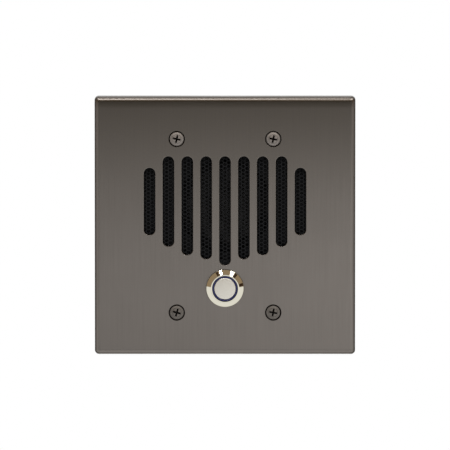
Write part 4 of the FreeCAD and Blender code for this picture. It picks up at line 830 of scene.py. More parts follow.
# Resin-dipped cotton of the centring disc, amber. Its threads, 0.45 mm apart, are drawn 0.9 mm apart.
CLOTH = Finish(
    "resin_dipped_cotton", "#c99a4a", "#8a6326", 0.45, 0.05, 0.6, 0.08, pattern=Pattern.WOVEN, coat=0.2
)
# Brown polyimide film: thin, smooth and glossy.
FILM = Finish("polyimide_film", "#a8641c", "#8d5114", 2.0, 0.002, 0.2, 0.05, ior=1.7)
# Enamelled copper wire: glossy and reddish, with dark lines between the turns. Turns 0.2 mm apart are
# drawn 0.4 mm apart.
COPPER_WIRE = Finish(
    "enamelled_copper_wire", "#b4602e", "#6e3413", 0.2, 0.06, 0.28, 0.08, 1.0, Pattern.WOUND, coat=0.5
)
# Sintered ferrite: dark grey ceramic with ground faces.
FERRITE = Finish("sintered_ferrite", "#2d2d30", "#3d3d41", 0.7, 0.02, 0.46, 0.1, ior=2.2)
# Phenolic paper: brown laminate with fibres along its length.
PHENOLIC = Finish(
    "phenolic_paper", "#8a5a2e", "#734721", (3.0, 0.4, 0.4), 0.01, 0.5, 0.08, pattern=Pattern.FIBROUS
)
# Moulded epoxy of a diode: black and slightly dull.
EPOXY = Finish("moulded_epoxy", "#1a1a1b", "#262627", 0.3, 0.01, 0.45, 0.08)
# Beige lacquer on a ceramic rod: even and glossy.
LACQUER = Finish("resistor_lacquer", "#d5bd93", "#c9af83", 1.0, 0.01, 0.3, 0.06, coat=0.4)
# Shrunk plastic sleeve over an aluminium can: dark blue and glossy.
SLEEVE = Finish("shrunk_sleeve", "#1c2337", "#232b43", 1.5, 0.01, 0.28, 0.05, coat=0.5)
# Deep-drawn aluminium of the can: bright and smooth.
ALUMINIUM = Finish("drawn_aluminium", "#c9cbcd", "#b3b5b8", 0.3, 0.003, 0.3, 0.06, 1.0)
# Cured paint of a marking band: opaque, with a soft gloss.
BAND_PAINTS = {
    name: Finish(f"{name}_band_paint", code, dark, 0.6, 0.004, 0.32, 0.05, coat=0.3)
    for name, code, dark in (
        ("brown", "#5a2f19", "#4b2613"),
        ("black", "#1b1a19", "#242322"),
        ("red", "#a82a20", "#94221a"),
        ("gold", "#b08d3f", "#97762f"),
        ("silver", "#b9bbbd", "#a3a5a7"),
    )
}


@dataclass
class Faceplate:
    """The pressed plate with what is fixed to it: wall screws, weld studs, mesh and gaskets."""

    screw_x: float = 23.02
    screw_z: float = 41.67
    head_edge: float = -5.482
    head_radius: float = 3.3
    head_crown: float = 0.7
    sink_angle: float = 41.0
    shank_radius: float = 1.75
    screw_pitch: float = 0.794
    screw_tip: float = 19.918
    bare_length: float = 1.2
    upper_turns: Pair = (13.0, 12.0)
    lower_turns: Pair = (16.0, 11.0)
    stud_spots: tuple[Pair, ...] = ((34.0, 40.91), (-34.0, 40.91), (29.0, -31.0), (-29.0, -31.0))
    mesh_front: float = -4.48
    mesh_back: float = -4.02
    hole_pitch_x: float = 1.74
    hole_pitch_z: float = 1.83
    hole_share: float = 0.78

    def build(self, shop: Workshop) -> None:
        """Makes and dresses its pieces.

        Args:
            shop: What turns shapes into pieces.
        """
        shop.dress(BRONZE, "faceplate")
        shop.dress(FOAM, "wall_gasket", "baffle_gasket")
        screw = self.wall_screw()
        # The lower pair takes the darker copy of the steel, as painted shade.
        for place, z, angles, finish in (("upper", self.screw_z, self.upper_turns, SCREW),
                                         ("lower", -self.screw_z, self.lower_turns, SHADED_SCREW)):
            pair = screw.copies((-self.screw_x, z, angles[0]), (self.screw_x, z, angles[1]))
            shop.piece(f"{place}_wall_screws", pair, finish, "screw_steel", "wall_screws")
        studs = self.weld_stud().copies(*self.stud_spots)
        shop.piece("threaded_weld_studs", studs, SCREW, "screw_steel", "weld_studs")
        shop.piece("perforated_screen", self.screen(), MESH_PAINT, "black_mesh", "mesh_screen")

    def wall_screw(self) -> Shape:
        """Makes an oval-head screw with a cross recess and a full thread.

        Returns:
            The screw on the Y axis.
        """
        steps, edge, radius, shank = 40, self.head_edge, self.head_radius, self.shank_radius
        sphere = (radius**2 + self.head_crown**2) / (2 * self.head_crown)
        slope = math.degrees(math.asin(radius / sphere))
        crown = arc((0.0, edge - self.head_crown + sphere), sphere, -90.0, slope - 90.0, 8)
        neck = edge + (radius - shank) / math.tan(math.radians(self.sink_angle))
        minor = shank - THREAD_DEPTH * self.screw_pitch
        start, end = neck + self.bare_length, self.screw_tip - self.bare_length
        under = [(radius, edge + 0.12), (shank, neck), (shank, start - 0.35), (minor, start)]
        tip = [(minor, end), (minor * 0.75, self.screw_tip), (0.0, self.screw_tip)]
        ridges = thread(shank, self.screw_pitch, start, end, steps, 0.5)
        screw = lathe(crown + under, steps) + ridges + lathe(tip, steps)
        return screw.cut(cross_recess(edge - self.head_crown, depth=2.1, span=4.0, wing=0.9))

    def weld_stud(self) -> Shape:
        """Makes an M3 stud on its welded foot.

        Returns:
            The stud on the Y axis.
        """
        steps, radius, pitch, start, end = 24, 1.5, 0.5, -3.3, 3.6
        minor = radius - THREAD_DEPTH * pitch
        foot = lathe([(0.0, -4.5), (2.0, -4.5), (2.0, -4.15), (1.7, -4.0), (radius, -4.0), (radius, -3.6),
                      (minor, start)], steps)
        tip = lathe([(minor, end), (1.0, 4.0), (0.0, 4.0)], steps)
        return foot + thread(radius, pitch, start, end, steps, 0.3) + tip

    def screen(self) -> Shape:
        """Makes the steel sheet behind the slots, with its staggered holes.

        Returns:
            One sheet, cut to its outline, with a rim all round.
        """
        half_x, half_z = self.hole_pitch_x, self.hole_pitch_z / 2
        near = (half_x**2 - half_z**2) / (2 * half_x)
        far = (half_x**2 + half_z**2) / (2 * half_x)
        cell = [(near, half_z), (far, 0.0), (near, -half_z), (-near, -half_z), (-far, 0.0), (-near, half_z)]
        work = bmesh.new()
        columns, rows = range(-25, 26), range(-13, 21)
        for column in columns:
            for row in rows:
                x, z = column * self.hole_pitch_x, (row + column % 2 / 2) * self.hole_pitch_z
                outside, hole = (
                    [work.verts.new((x + a * size, self.mesh_front, z + b * size)) for a, b in cell]
                    for size in (1.0, self.hole_share)
                )
                for at in range(6):
                    after = (at + 1) % 6
                    work.faces.new((outside[at], outside[after], hole[after], hole[at]))
        bmesh.ops.remove_doubles(work, verts=work.verts, dist=1e-3)
        for x, z, side, up in self.edges():
            plane = {"plane_co": (x, 0, z), "plane_no": (side, 0, up)}
            whole = [*work.verts, *work.edges, *work.faces]
            bmesh.ops.bisect_plane(work, geom=whole, **plane, clear_outer=True)
        solid = bmesh.ops.extrude_face_region(work, geom=work.faces[:])
        moved = [item for item in solid["geom"] if isinstance(item, bmesh.types.BMVert)]
        bmesh.ops.translate(work, verts=moved, vec=(0, self.mesh_back - self.mesh_front, 0))
        work.verts.index_update()
        points = [vertex.co.copy() for vertex in work.verts]
        sheet = Shape(points, [tuple(vertex.index for vertex in face.verts) for face in work.faces])
        work.free()
        return sheet

    def edges(self) -> list[tuple[float, float, float, float]]:
        """Gives the sheet's straight edges.

        Returns:
            For each, X and Z of a point on it and of the direction outwards.
        """
        side, top, shoulder, foot, half = 41.15, 35.81, -8.83, -19.62, 5.15
        lean = Vector((shoulder - foot, half - side)).normalized()
        return [(side, 0, 1, 0), (-side, 0, -1, 0), (0, top, 0, 1), (0, foot, 0, -1),
                (side, shoulder, lean.x, lean.y), (-side, shoulder, -lean.x, lean.y)]


@dataclass
class PushButton:
    """The ring-lit push button and its switch."""

    height: float = BUTTON_AXIS[1]
    steps: int = 96
    barrel: float = 8.0
    barrel_front: float = -5.9
    barrel_end: float = 9.1
    spring_radius: float = 3.2
    spring_front: float = -5.2
    spring_length: float = 4.35
    spring_turns: float = 5.5
    spring_wire: float = 0.3

    def build(self, shop: Workshop) -> None:
        """Makes and dresses its pieces.

        Args:
            shop: What turns shapes into pieces.
        """
        nut = hex_nut(flats=18.0, hole=8.1, front=-3.7, back=-0.7, chamfer=0.25)
        for name, shape, finish, slot, node, body in (
            ("polished_bezel", self.bezel(), POLISHED, "polished_steel", "button_bezel", STATION),
            ("satin_cap", self.cap(), SATIN, "satin_steel", "button_cap", BUTTON),
            ("domed_light_ring", self.lens(), LENS, "blue_lens", "light_ring", STATION),
            ("chamfered_button_nut", nut, NICKEL, "nickel_brass", "button_nut", STATION),
            ("toothed_washer", self.washer(), ZINC, "zinc_steel", "button_lock_washer", STATION),
        ):
            shop.piece(name, shape.moved(z=self.height), finish, slot, node, body=body)
        coil = self.spring().moved(z=self.height)
        spring = shop.piece("coiled_return_spring", coil, SPRING, "spring_steel", "return_spring")
        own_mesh(spring)
        shop.dress(RUBBER, "button_gasket")
        shop.dress(NYLON, "switch_housing", "switch_base")
        shop.dress(WHITE_BOARD, "led_ring_board")
        shop.dress(LED, "ring_leds")
        shop.dress(TINNED, "led_leads")
        shop.dress(NATURAL_NYLON, "button_plunger")
        shop.dress(BRASS, "moving_contact", "contact_pins")

    def bezel(self) -> Shape:
        """Makes the flange and the threaded barrel in one.

        Returns:
            The turned piece.
        """
        minor = self.barrel - THREAD_DEPTH
        profile = [
            (minor, self.barrel_front), (7.85, -6.3), (8.0, -6.6), (8.9, -6.6), (9.0, -6.7), (9.0, -6.75),
            (9.0, -6.815), (8.987, -6.924), (8.947, -7.026), (8.884, -7.116), (8.806, -7.185), (8.75, -7.224),
            (6.95, -8.47), (6.9, -8.505), (6.82, -8.56), (6.74, -8.59), (6.66, -8.6), (6.6, -8.6), (6.34, -8.6),
            (6.27, -8.6), (6.19, -8.57), (6.15, -8.5), (6.15, -8.4), (6.15, 9.3), (6.35, 9.5), (7.0, 9.5),
            (minor, self.barrel_end),
        ]
        ridges = thread(self.barrel, 1.0, self.barrel_front, self.barrel_end, self.steps, 0.5)
        return lathe(profile, self.steps) + ridges

    def cap(self) -> Shape:
        """Makes the cap, flat with a turned chamfer.

        Returns:
            The turned piece.
        """
        front, back, radius = -8.5, -5.5, 5.1
        chamfer = [(4.86, front), (4.95, -8.48), (5.08, -8.35), (radius, -8.26)]
        profile = [(0.0, front), *chamfer, (radius, back), (0.0, back)]
        return lathe(profile, self.steps)

    def lens(self) -> Shape:
        """Makes the ring round the cap, with a softly domed front.

        Returns:
            The turned piece.
        """
        middle, half, level, back, flatness = 5.65, 0.45, -8.1, -5.05, 0.75
        front = arc((middle, level), half, 180.0, 360.0, 9)
        dome = [(radius, level + (depth - level) * flatness) for radius, depth in front]
        return lathe([*dome, (middle + half, back), (middle - half, back)], self.steps, closed=True)

    def washer(self) -> Shape:
        """Makes the locking washer, with twisted teeth inside.

        Returns:
            The washer round the Y axis.
        """
        front, back, bore, root, twist = -4.48, -3.72, 8.15, 8.95, 0.14
        sections = []
        for step in range(self.steps):
            # A tooth takes the middle three of every six steps.
            part = step % 6 - 3
            inner, lean = (bore, part * twist) if abs(part) < 2 else (root, 0.0)
            section = ((inner, -4.3 + lean), (9.0, -4.4), (10.0, -4.4), (10.0, -3.8), (9.0, -3.8),
                       (inner, -3.9 + lean))
            sections.append([(radius, min(max(depth, front), back)) for radius, depth in section])
        return varied_ring(sections)

    def spring(self) -> Shape:
        """Makes the return spring, with closed ends.

        Returns:
            The coil round the Y axis.
        """
        count, flat, lift = 220, 0.14, 0.06
        path = []
        for step in range(count + 1):
            share = step / count
            rise = min(max((share - flat) / (1 - 2 * flat), 0.0), 1.0)
            rise += lift * (min(share / flat, 1.0) - 1.0) + lift * max((share - (1 - flat)) / flat, 0.0)
            depth = self.spring_front + self.spring_length * (rise + lift) / (1 + 2 * lift)
            path.append(polar(self.spring_radius, depth, math.tau * self.spring_turns * share))
        return wire(path, self.spring_wire)


@dataclass
class Speaker:
    """The loudspeaker, its baffle and their fixings."""

    height: float = SPEAKER_AXIS[1]
    boss_circle: float = 27.7
    boss_angle: float = 35.0
    nut_spots: tuple[Pair, ...] = ((34.0, 40.91), (-34.0, 40.91))

    def build(self, shop: Workshop) -> None:
        """Makes and dresses its pieces.

        Args:
            shop: What turns shapes into pieces.
        """
        shop.dress(ABS, "speaker_baffle")
        shop.dress(FOAM, "speaker_gasket")
        shop.dress(ZINC, "stud_washers", "speaker_clamps", "speaker_frame", "magnet_front_plate",
                   "magnet_back_plate")
        shop.dress(FERRITE, "magnet_ring")
        shop.dress(PAPER, "speaker_cone", "dust_cap")
        shop.dress(FILM, "coil_former")
        shop.dress(COPPER_WIRE, "coil_winding")
        shop.dress(PHENOLIC, "tag_strip")
        shop.dress(BRASS, "strip_rivet")
        shop.dress(TINNED, "speaker_tags")
        shop.piece("pan_head_speaker_screws", self.screws(), ZINC, "zinc_steel", "speaker_screws")
        nut = hex_nut(flats=5.5, hole=1.55, front=-1.5, back=0.9, chamfer=0.15)
        shop.piece("chamfered_stud_nuts", nut.copies(*self.nut_spots), ZINC, "zinc_steel", "stud_nuts")
        surround, spider = self.surround(), self.spider()
        shop.suspension("rolled_surround", surround, RUBBER, "black_rubber", "cone_surround")
        shop.suspension("corrugated_spider", spider, CLOTH, "spider_cloth", "spider")

    def screws(self) -> Shape:
        """Makes the four pan-head screws in the baffle's bosses.

        Returns:
            The screws, each turned as it was left.
        """
        angle = math.radians(self.boss_angle)
        x, z = self.boss_circle * math.cos(angle), self.boss_circle * math.sin(angle)
        spots = []
        for side in (1, -1):
            spots += [(x * side, self.height + z * rise, 17.0 * side + 31.0 * rise) for rise in (1, -1)]
        return pan_head_screw(seat=3.2, tip=-0.45).copies(*spots)

    def surround(self) -> list[Pair]:
        """Draws the half-round roll of the cone's edge, with the lands glued to the cone and to the rim.

        Returns:
            Its section as radius and depth.
        """
        middle, half, rise, front, thick = 20.1, 1.7, 1.5, 1.4, 0.35
        back, within = front + thick, half - thick
        bends = [math.pi * step / 16 for step in range(17)]
        outer = [(middle + half * math.cos(bend), front - rise * math.sin(bend)) for bend in bends]
        inner = [(middle - within * math.cos(bend), back - rise * math.sin(bend)) for bend in bends]
        return [(23.8, back), (23.8, front), *outer, (17.9, 1.44), (17.9, 1.7), (18.4, 1.74), *inner]

    def spider(self) -> list[Pair]:
        """Draws the centring disc, with smooth rings.

        Returns:
            Its section as radius and depth.
        """
        start, end, rim, waves, depth, height = 6.3, 14.35, 15.35, 4, 9.95, 0.2
        front, back = [], []
        for reach in [start + (end - start) * step / 48 for step in range(49)] + [rim]:
            share = min(max((reach - start) / (end - start), 0.0), 1.0)
            level = depth + height * math.cos(math.tau * waves * share)
            front.append((reach, level - 0.05))
            back.append((reach, level + 0.2))
        return front + back[::-1]


@dataclass
class TerminalBoard:
    """The circuit board with its terminals and small components."""

    front: float = 19.5
    back: float = 21.1
    spots: tuple[Pair, ...] = ((29.0, -31.0), (-29.0, -31.0))
    screw_turns: Pair = (24.0, -9.0)
    terminals: tuple[float, ...] = (-12.5, -7.5, -2.5, 2.5, 7.5, 12.5)
    terminal_turns: tuple[float, ...] = (12.0, -31.0, 4.0, 58.0, -17.0, 35.0)
    terminal_row: float = -17.4
    component_row: float = -20.0
    component_rise: float = 0.4
    resistors: Pair = (17.7, 21.15)
    diode: float = 24.6
    capacitor: float = -21.6
    half_span: float = 5.08
    can_half_span: float = 1.75
    ring_half_span: float = 5.65
    contact_x: float = 3.6
    pin_radius: float = 0.45
    lead_radius: float = 0.3
    contact_radius: float = 0.6
    pad_width: float = 0.6
    pad_thickness: float = 0.05
    tag_x: float = 5.2
    tag_z: float = -10.5
    button_z: float = BUTTON_AXIS[1]
    track_width: float = 0.9
    track_thickness: float = 0.035
    rod_radius: float = 1.2
    diode_radius: float = 1.35
    can_height: float = 11.0
    fillet: tuple[Pair, ...] = ((0.6, 0.0), (0.6, 0.06), (0.3, 0.22), (0.12, 0.5), (0.03, 0.75))

    def build(self, shop: Workshop) -> None:
        """Makes and dresses its pieces.

        Args:
            shop: What turns shapes into pieces.
        """
        shop.dress(GREEN_BOARD, "circuit_board")
        shop.dress(GREEN_NYLON, "terminal_block")
        shop.dress(TINNED, "terminal_clamps", "terminal_pins", "component_leads")
        spacer = hex_nut(flats=5.5, hole=1.55, front=-1.5, back=self.front, chamfer=0.15)
        spots = [(*spot, turn) for spot, turn in zip(self.spots, self.screw_turns)]
        screws = pan_head_screw(seat=self.back, tip=15.1).copies(*spots)
        shop.piece("hexagon_spacers", spacer.copies(*self.spots), NICKEL, "nickel_brass", "board_spacers")
        shop.piece("pan_head_board_screws", screws, ZINC, "zinc_steel", "board_screws")
        shop.piece("slotted_terminal_screws", self.terminal_screws(), ZINC, "zinc_steel", "terminal_screws")
        shop.piece("solder_joints", self.solder(), SOLDER, "tinned_copper")
        shop.piece("tinned_pads", self.pads(), TINNED, "tinned_copper")
        shop.piece("covered_tracks", self.tracks(), COVERED_COPPER, "green_board")
        self.mark_resistors(shop)
        self.place_diode(shop)
        self.place_capacitor(shop)

    def pins(self) -> tuple[list[Triple], list[Triple]]:
        """Gives the places of the pins.

        Returns:
            X, Z and radius of those soldered on the front, and of those soldered on the back.
        """
        row, lead = self.component_row, self.lead_radius
        front = [(x, self.terminal_row, self.pin_radius) for x in self.terminals]
        for x in (*self.resistors, self.diode):
            front += [(x, row + self.half_span * way, lead) for way in (1, -1)]
        front += [(self.capacitor + self.can_half_span * way, row, lead) for way in (1, -1)]
        back = [(0.0, self.button_z + self.ring_half_span * way, lead) for way in (1, -1)]
        back += [(self.contact_x * way, self.button_z, self.contact_radius) for way in (1, -1)]
        return front, back

    def solder(self) -> Shape:
        """Makes a fillet of solder round every pin and both tags.

        Returns:
            All the fillets.
        """
        front, back = self.pins()
        made = Shape()
        for pins, level, way in ((front, self.front, -1), (back, self.back, 1)):
            for x, z, radius in pins:
                fillet = [(radius + wide, level + rise * way) for wide, rise in self.fillet]
                inside, top = radius * 0.9, fillet[-1][1]
                profile = [(inside, level), *fillet, (inside, top)]
                made += lathe(profile, 20, closed=True).moved(x, 0.0, z)
        tag = self.tag_fillet().moved(y=self.back)
        return made + tag.copies((self.tag_x, self.tag_z), (-self.tag_x, self.tag_z))

    def tag_fillet(self) -> Shape:
        """Draws solder up a flat tag, wider than it is high and hollow at its foot.

        Returns:
            The fillet, with its foot at depth zero.
        """
        levels = ((0.0, 1.95, 0.95), (0.07, 1.95, 0.95), (0.16, 1.66, 0.66), (0.32, 1.46, 0.46),
                  (0.52, 1.36, 0.36), (0.72, 1.31, 0.31))
        # An exponent under one squares the oval off.
        squareness = 0.55
        rows = []
        for depth, wide, high in levels:
            row = []
            for turn in turns(32):
                shares = math.cos(turn), math.sin(turn)
                x, z = (math.copysign(abs(share) ** squareness, share) for share in shares)
                row.append(Vector((x * wide, depth, z * high)))
            rows.append(row)
        return grid(rows)

    def pads(self) -> Shape:
        """Makes bare rings of copper round the holes, tinned, on the side without solder.

        Returns:
            All the rings.
        """
        front, back = self.pins()
        made = Shape()
        for pins, level, way in ((front, self.back, 1), (back, self.front, -1)):
            for x, z, radius in pins:
                outer, face = radius + self.pad_width, level + self.pad_thickness * way
                made += ring(radius + 0.06, outer, level, face, 24).moved(x, 0.0, z)
        return made

    def tracks(self) -> Shape:
        """Makes the copper tracks under the resist, from the terminals to what they serve.

        Returns:
            All the tracks.
        """
        row, parts, button = self.terminal_row, self.component_row, self.button_z
        head, foot = parts + self.half_span, parts - self.half_span
        a, b, c, d, e, f = self.terminals
        near, far = self.resistors
        can_near, can_far = self.capacitor + self.can_half_span, self.capacitor - self.can_half_span
        contact, above, below = self.contact_x, button + self.ring_half_span, button - self.ring_half_span
        back = [
            [(a, row), (a, -14.0), (can_near, -14.0), (can_near, parts)],
            [(can_far, parts), (-27.5, parts), (-27.5, -11.0), (-9.0, -11.0), (-7.6, self.tag_z),
             (-self.tag_x, self.tag_z)],
            [(b, row), (b, -24.4), (-contact, button + 1.6), (-contact, button)],
            [(c, row), (c, -25.9), (contact, button + 1.6), (contact, button)],
            [(d, row), (d, -11.4), (self.tag_x, self.tag_z)],
            [(e, row), (e, -12.0), (far, -12.0), (far, head)],
            [(f, row), (f, -13.4), (near, -13.4), (near, head)],
            [(near, foot), (near, -26.4), (12.0, -26.4), (6.0, above), (0.0, above)],
            [(far, foot), (far, -29.4), (13.0, -33.8), (0.0, below)],
            [(self.diode, head), (self.diode, -12.0), (far, -12.0)],
        ]
        front = [
            [(self.diode, foot), (self.diode, -27.0), (15.0, -27.0), (f, -24.5), (f, row)],
            [(a, row), (a, -22.0), (-20.0, -27.5), (-26.6, -29.6)],
        ]
        made = Shape()
        for paths, level, way in ((back, self.back, 1), (front, self.front, -1)):
            for index, path in enumerate(paths):
                # Each track is a hair thicker than the last, so that no two faces share a plane.
                depths = sorted((level, level + (self.track_thickness + 0.001 * index) * way))
                made += strip(path, self.track_width, *depths)
        return made

    def terminal_screws(self) -> Shape:
        """Makes the six screws with a slot for a blade.

        Returns:
            The screws, each turned as it was left.
        """
        top, tip = self.back + 8.6, self.back + 3.95
        profile = [(0.0, tip), (1.2, tip), (1.2, top - 1.6), (1.7, top - 1.6), (1.8, top - 1.5),
                   (1.8, top - 0.25), (1.6, top), (0.0, top)]
        slot = rectangle(4.4, 0.55)
        screw = lathe(profile, 32).cut(block(slot, slot, top - 0.85, top + 0.3))
        spots = [(x, self.terminal_row, turn) for x, turn in zip(self.terminals, self.terminal_turns)]
        return screw.copies(*spots)

    def lay(self, shape: Shape, radius: float, *places: float) -> Shape:
        """Lays a turned component along Z above the board.

        Args:
            shape: The component on the Y axis.
            radius: Its largest radius.
            places: X of each copy.

        Returns:
            All the copies.
        """
        lying = shape.turned(90.0, "X").moved(y=self.back + self.component_rise + radius)
        return lying.copies(*((x, self.component_row) for x in places))

    def mark_resistors(self, shop: Workshop) -> None:
        """Makes the two resistors and their bands.

        Args:
            shop: What turns shapes into pieces.
        """
        half = [(0.0, 3.15), (0.35, 3.15), (0.9, 3.0), (1.18, 2.6), (1.2, 2.1), (1.13, 1.7), (1.06, 1.4)]
        rods = self.lay(lathe(mirrored(half), 28), self.rod_radius, *self.resistors)
        shop.piece("lacquered_resistors", rods, LACQUER, "resistor_coat", "led_resistors", crease=60.0)
        bands = (("brown", 2.1, 1.21), ("black", 1.05, 1.07), ("red", 0.25, 1.07), ("gold", -2.1, 1.21))
        for paint, middle, radius in bands:
            band = ring(radius - 0.3, radius + 0.005, middle - 0.22, middle + 0.22, 28)
            shape = self.lay(band, self.rod_radius, *self.resistors)
            shop.piece(f"resistor_band_{paint}", shape, BAND_PAINTS[paint], "resistor_coat")

    def place_diode(self, shop: Workshop) -> None:
        """Makes the diode and its band.

        Args:
            shop: What turns shapes into pieces.
        """
        radius = self.diode_radius
        half = [(0.0, 2.6), (0.9, 2.6), (1.25, 2.45), (radius, 2.2)]
        barrel = self.lay(lathe(mirrored(half), 32), radius, self.diode)
        shop.piece("moulded_diode", barrel, EPOXY, "black_epoxy", "protection_diode")
        band = self.lay(ring(1.1, radius + 0.008, -2.0, -1.2, 32), radius, self.diode)
        shop.piece("diode_band", band, BAND_PAINTS["silver"], "black_epoxy")

    def place_capacitor(self, shop: Workshop) -> None:
        """Makes the capacitor in its sleeve, with the vented top of its can.

        Args:
            shop: What turns shapes into pieces.
        """
        foot, top, steps = self.back, self.back + self.can_height, 48
        can = [(0.0, foot), (3.7, foot), (4.0, foot + 0.3), (4.0, foot + 1.2), (3.75, foot + 1.6),
               (3.75, foot + 1.9), (4.0, foot + 2.3), (4.0, top - 0.5), (3.9, top - 0.12), (3.6, top),
               (3.2, top - 0.02), (3.2, top - 0.2), (0.0, top - 0.2)]
        disc = lathe([(0.0, top - 0.19), (3.18, top - 0.19), (3.18, top - 0.05), (0.0, top - 0.05)], steps)
        slots = (rectangle(4.2, 0.22), rectangle(0.22, 4.2))
        disc = disc.cut(*(block(slot, slot, top - 0.12, top + 0.2) for slot in slots))
        can, disc = (shape.moved(x=self.capacitor, z=self.component_row) for shape in (lathe(can, steps), disc))
        shop.piece("sleeved_capacitor", can, SLEEVE, "capacitor_sleeve", "speaker_capacitor")
        shop.piece("vented_can_top", disc, ALUMINIUM, "capacitor_sleeve")


@dataclass
class Studio:
    """Camera, lamps, background and floor, in metres and degrees."""

    distance: float = 4.5
    raise_angle: float = 6.5
    frame_width: float = 0.2149
    aim: Triple = (0.0, -0.003, 0.0001)
    lamp_distance: float = 0.9
    lamp_height: float = 0.28
    lamp_power: float = 3.3
    fill: float = 0.5
    floor_level: float = -0.4
    floor_radius: float = 1.5
    tent_radius: float = 1.2
    tent_foot: float = -0.37
    flag_share: float = 0.96
    screen_distance: float = 0.336

    def build(self) -> None:
        """Sets the whole stage."""
        self.camera()
        self.world()
        self.floor()
        self.lamp("left_softbox", -29.0, 58.0, 0.085)
        self.lamp("right_softbox", 43.0, 52.0, 0.1)
        self.tent()
        self.flags()
        self.screen()
        bpy.context.scene.view_settings.view_transform = "Standard"

    def direction(self, azimuth: float, elevation: float) -> Vector:
        """Direction from the object, with azimuth zero in front and 90 to the right."""
        a, e = math.radians(azimuth), math.radians(elevation)
        return Vector((math.sin(a) * math.cos(e), -math.cos(a) * math.cos(e), math.sin(e)))

    def hang(self, name: str, data: bpy.types.ID, way: Vector, target: Vector) -> bpy.types.Object:
        """Hangs up a camera or a lamp that faces a point.

        Args:
            name: Its name.
            data: What it is.
            way: The way to it from the point.
            target: The point.

        Returns:
            The new object.
        """
        thing = bpy.data.objects.new(name, data)
        thing.location = target + way
        thing.rotation_euler = (-way).to_track_quat("-Z", "Y").to_euler()
        bpy.context.scene.collection.objects.link(thing)
        return thing

    def camera(self) -> None:
        """Adds the camera at the photograph's angle."""
        data = bpy.data.cameras.new("camera")
        data.sensor_width = 36.0
        data.lens = data.sensor_width * self.distance / self.frame_width
        data.clip_end = 50.0
        way = self.direction(0.0, self.raise_angle) * self.distance
        bpy.context.scene.camera = self.hang("camera", data, way, Vector(self.aim))

    def lamp(self, name: str, azimuth: float, elevation: float, width: float) -> None:
        """Adds an oblong softbox that faces the object.

        Args:
            name: Its name.
            azimuth: Degrees to the right of the front.
            elevation: Degrees above the horizon.
            width: Its width.
        """
        data = bpy.data.lights.new(name, "AREA")
        data.shape, data.energy = "RECTANGLE", self.lamp_power
        data.size, data.size_y = width, self.lamp_height
        way = self.direction(azimuth, elevation) * self.lamp_distance
        self.hang(name, data, way, Vector()).visible_camera = False

    def backdrop_ray(self, tree: Tree) -> Socket:
        """Tells which rays see the white background.

        Args:
            tree: The material's or the world's nodes.

        Returns:
            One for camera, glossy and transmission rays, and zero for the others.
        """
        path = add_node(tree, "LightPath")
        total = path.outputs["Is Camera Ray"]
        for name in ("Is Glossy Ray", "Is Transmission Ray"):
            both = {0: total, 1: path.outputs[name]}
            total = add_node(tree, "Math", both, operation="ADD", use_clamp=True).outputs[0]
        return total

    def world(self) -> None:
        """Adds the white background with a soft fill."""
        world = bpy.data.worlds.new("studio")
        bpy.context.scene.world = world
        tree = empty_tree(world)
        fill = add_node(tree, "Background", {"Color": linear("#f4f6fa"), "Strength": self.fill})
        white = add_node(tree, "Background", {"Color": linear(WHITE), "Strength": 1.0})
        mix = add_node(tree, "MixShader", {0: self.backdrop_ray(tree), 1: fill.outputs[0], 2: white.outputs[0]})
        add_node(tree, "OutputWorld", {"Surface": mix.outputs[0]})

    def stage_piece(self, name: str, shape: Shape) -> tuple[bpy.types.Object, Tree]:
        """Adds something that isn't part of the object.

        Args:
            name: Its name.
            shape: Its shape, in metres.

        Returns:
            The new object and the empty nodes of its material.
        """
        material = bpy.data.materials.new(name)
        mesh = bpy.data.meshes.new(name)
        mesh.from_pydata([tuple(point) for point in shape.points], [], shape.faces)
        mesh.materials.append(material)
        thing = bpy.data.objects.new(name, mesh)
        bpy.context.scene.collection.objects.link(thing)
        return thing, empty_tree(material)

    def floor(self) -> None:
        """Adds a pale round floor below the object, which keeps its shadow."""
        points = [Vector((math.cos(turn), math.sin(turn), 0)) * self.floor_radius for turn in turns(64)]
        disc = Shape(points, [tuple(range(64))]).moved(z=self.floor_level)
        tree = self.stage_piece("floor", disc)[1]
        place = add_node(tree, "TexCoord").outputs["Object"]
        cloud = add_node(tree, "TexNoise", {"Vector": place, "Scale": 3.0}).outputs[0]
        tone = add_node(tree, "Mix", {0: cloud, 6: linear("#f2f2f0"), 7: linear("#f7f7f5")}, data_type="RGBA")
        matt = add_node(tree, "BsdfDiffuse", {"Color": tone.outputs[2]})
        reach = add_node(tree, "VectorMath", {0: place}, operation="LENGTH").outputs["Value"]
        strength = add_node(tree, "MapRange", {0: reach, 1: 0.5, 2: 0.9, 3: 0.45, 4: 1.0}).outputs[0]
        light = add_node(tree, "Emission", {"Color": linear(WHITE), "Strength": strength})
        dark = add_node(tree, "Emission", {"Color": linear(WHITE), "Strength": 0.0})
        mix = add_node(tree, "MixShader", {0: self.backdrop_ray(tree), 1: dark.outputs[0], 2: light.outputs[0]})
        both = add_node(tree, "AddShader", {0: matt.outputs[0], 1: mix.outputs[0]})
        add_node(tree, "OutputMaterial", {"Surface": both.outputs[0]})

    def reflection(self, name: str, shape: Shape) -> tuple[Tree, bpy.types.Node]:
        """Adds a glowing sheet round the object that only its own reflections show.

        Args:
            name: Its name.
            shape: Its shape, in metres.

        Returns:
            The nodes of its material, and the one that glows.
        """
        sheet, tree = self.stage_piece(name, shape)
        for ray in ("camera", "diffuse", "shadow", "transmission"):
            setattr(sheet, f"visible_{ray}", False)
        sheet.active_material.cycles.emission_sampling = "NONE"
        light = add_node(tree, "Emission", {"Strength": 1.0})
        add_node(tree, "OutputMaterial", {"Surface": light.outputs[0]})
        return tree, light

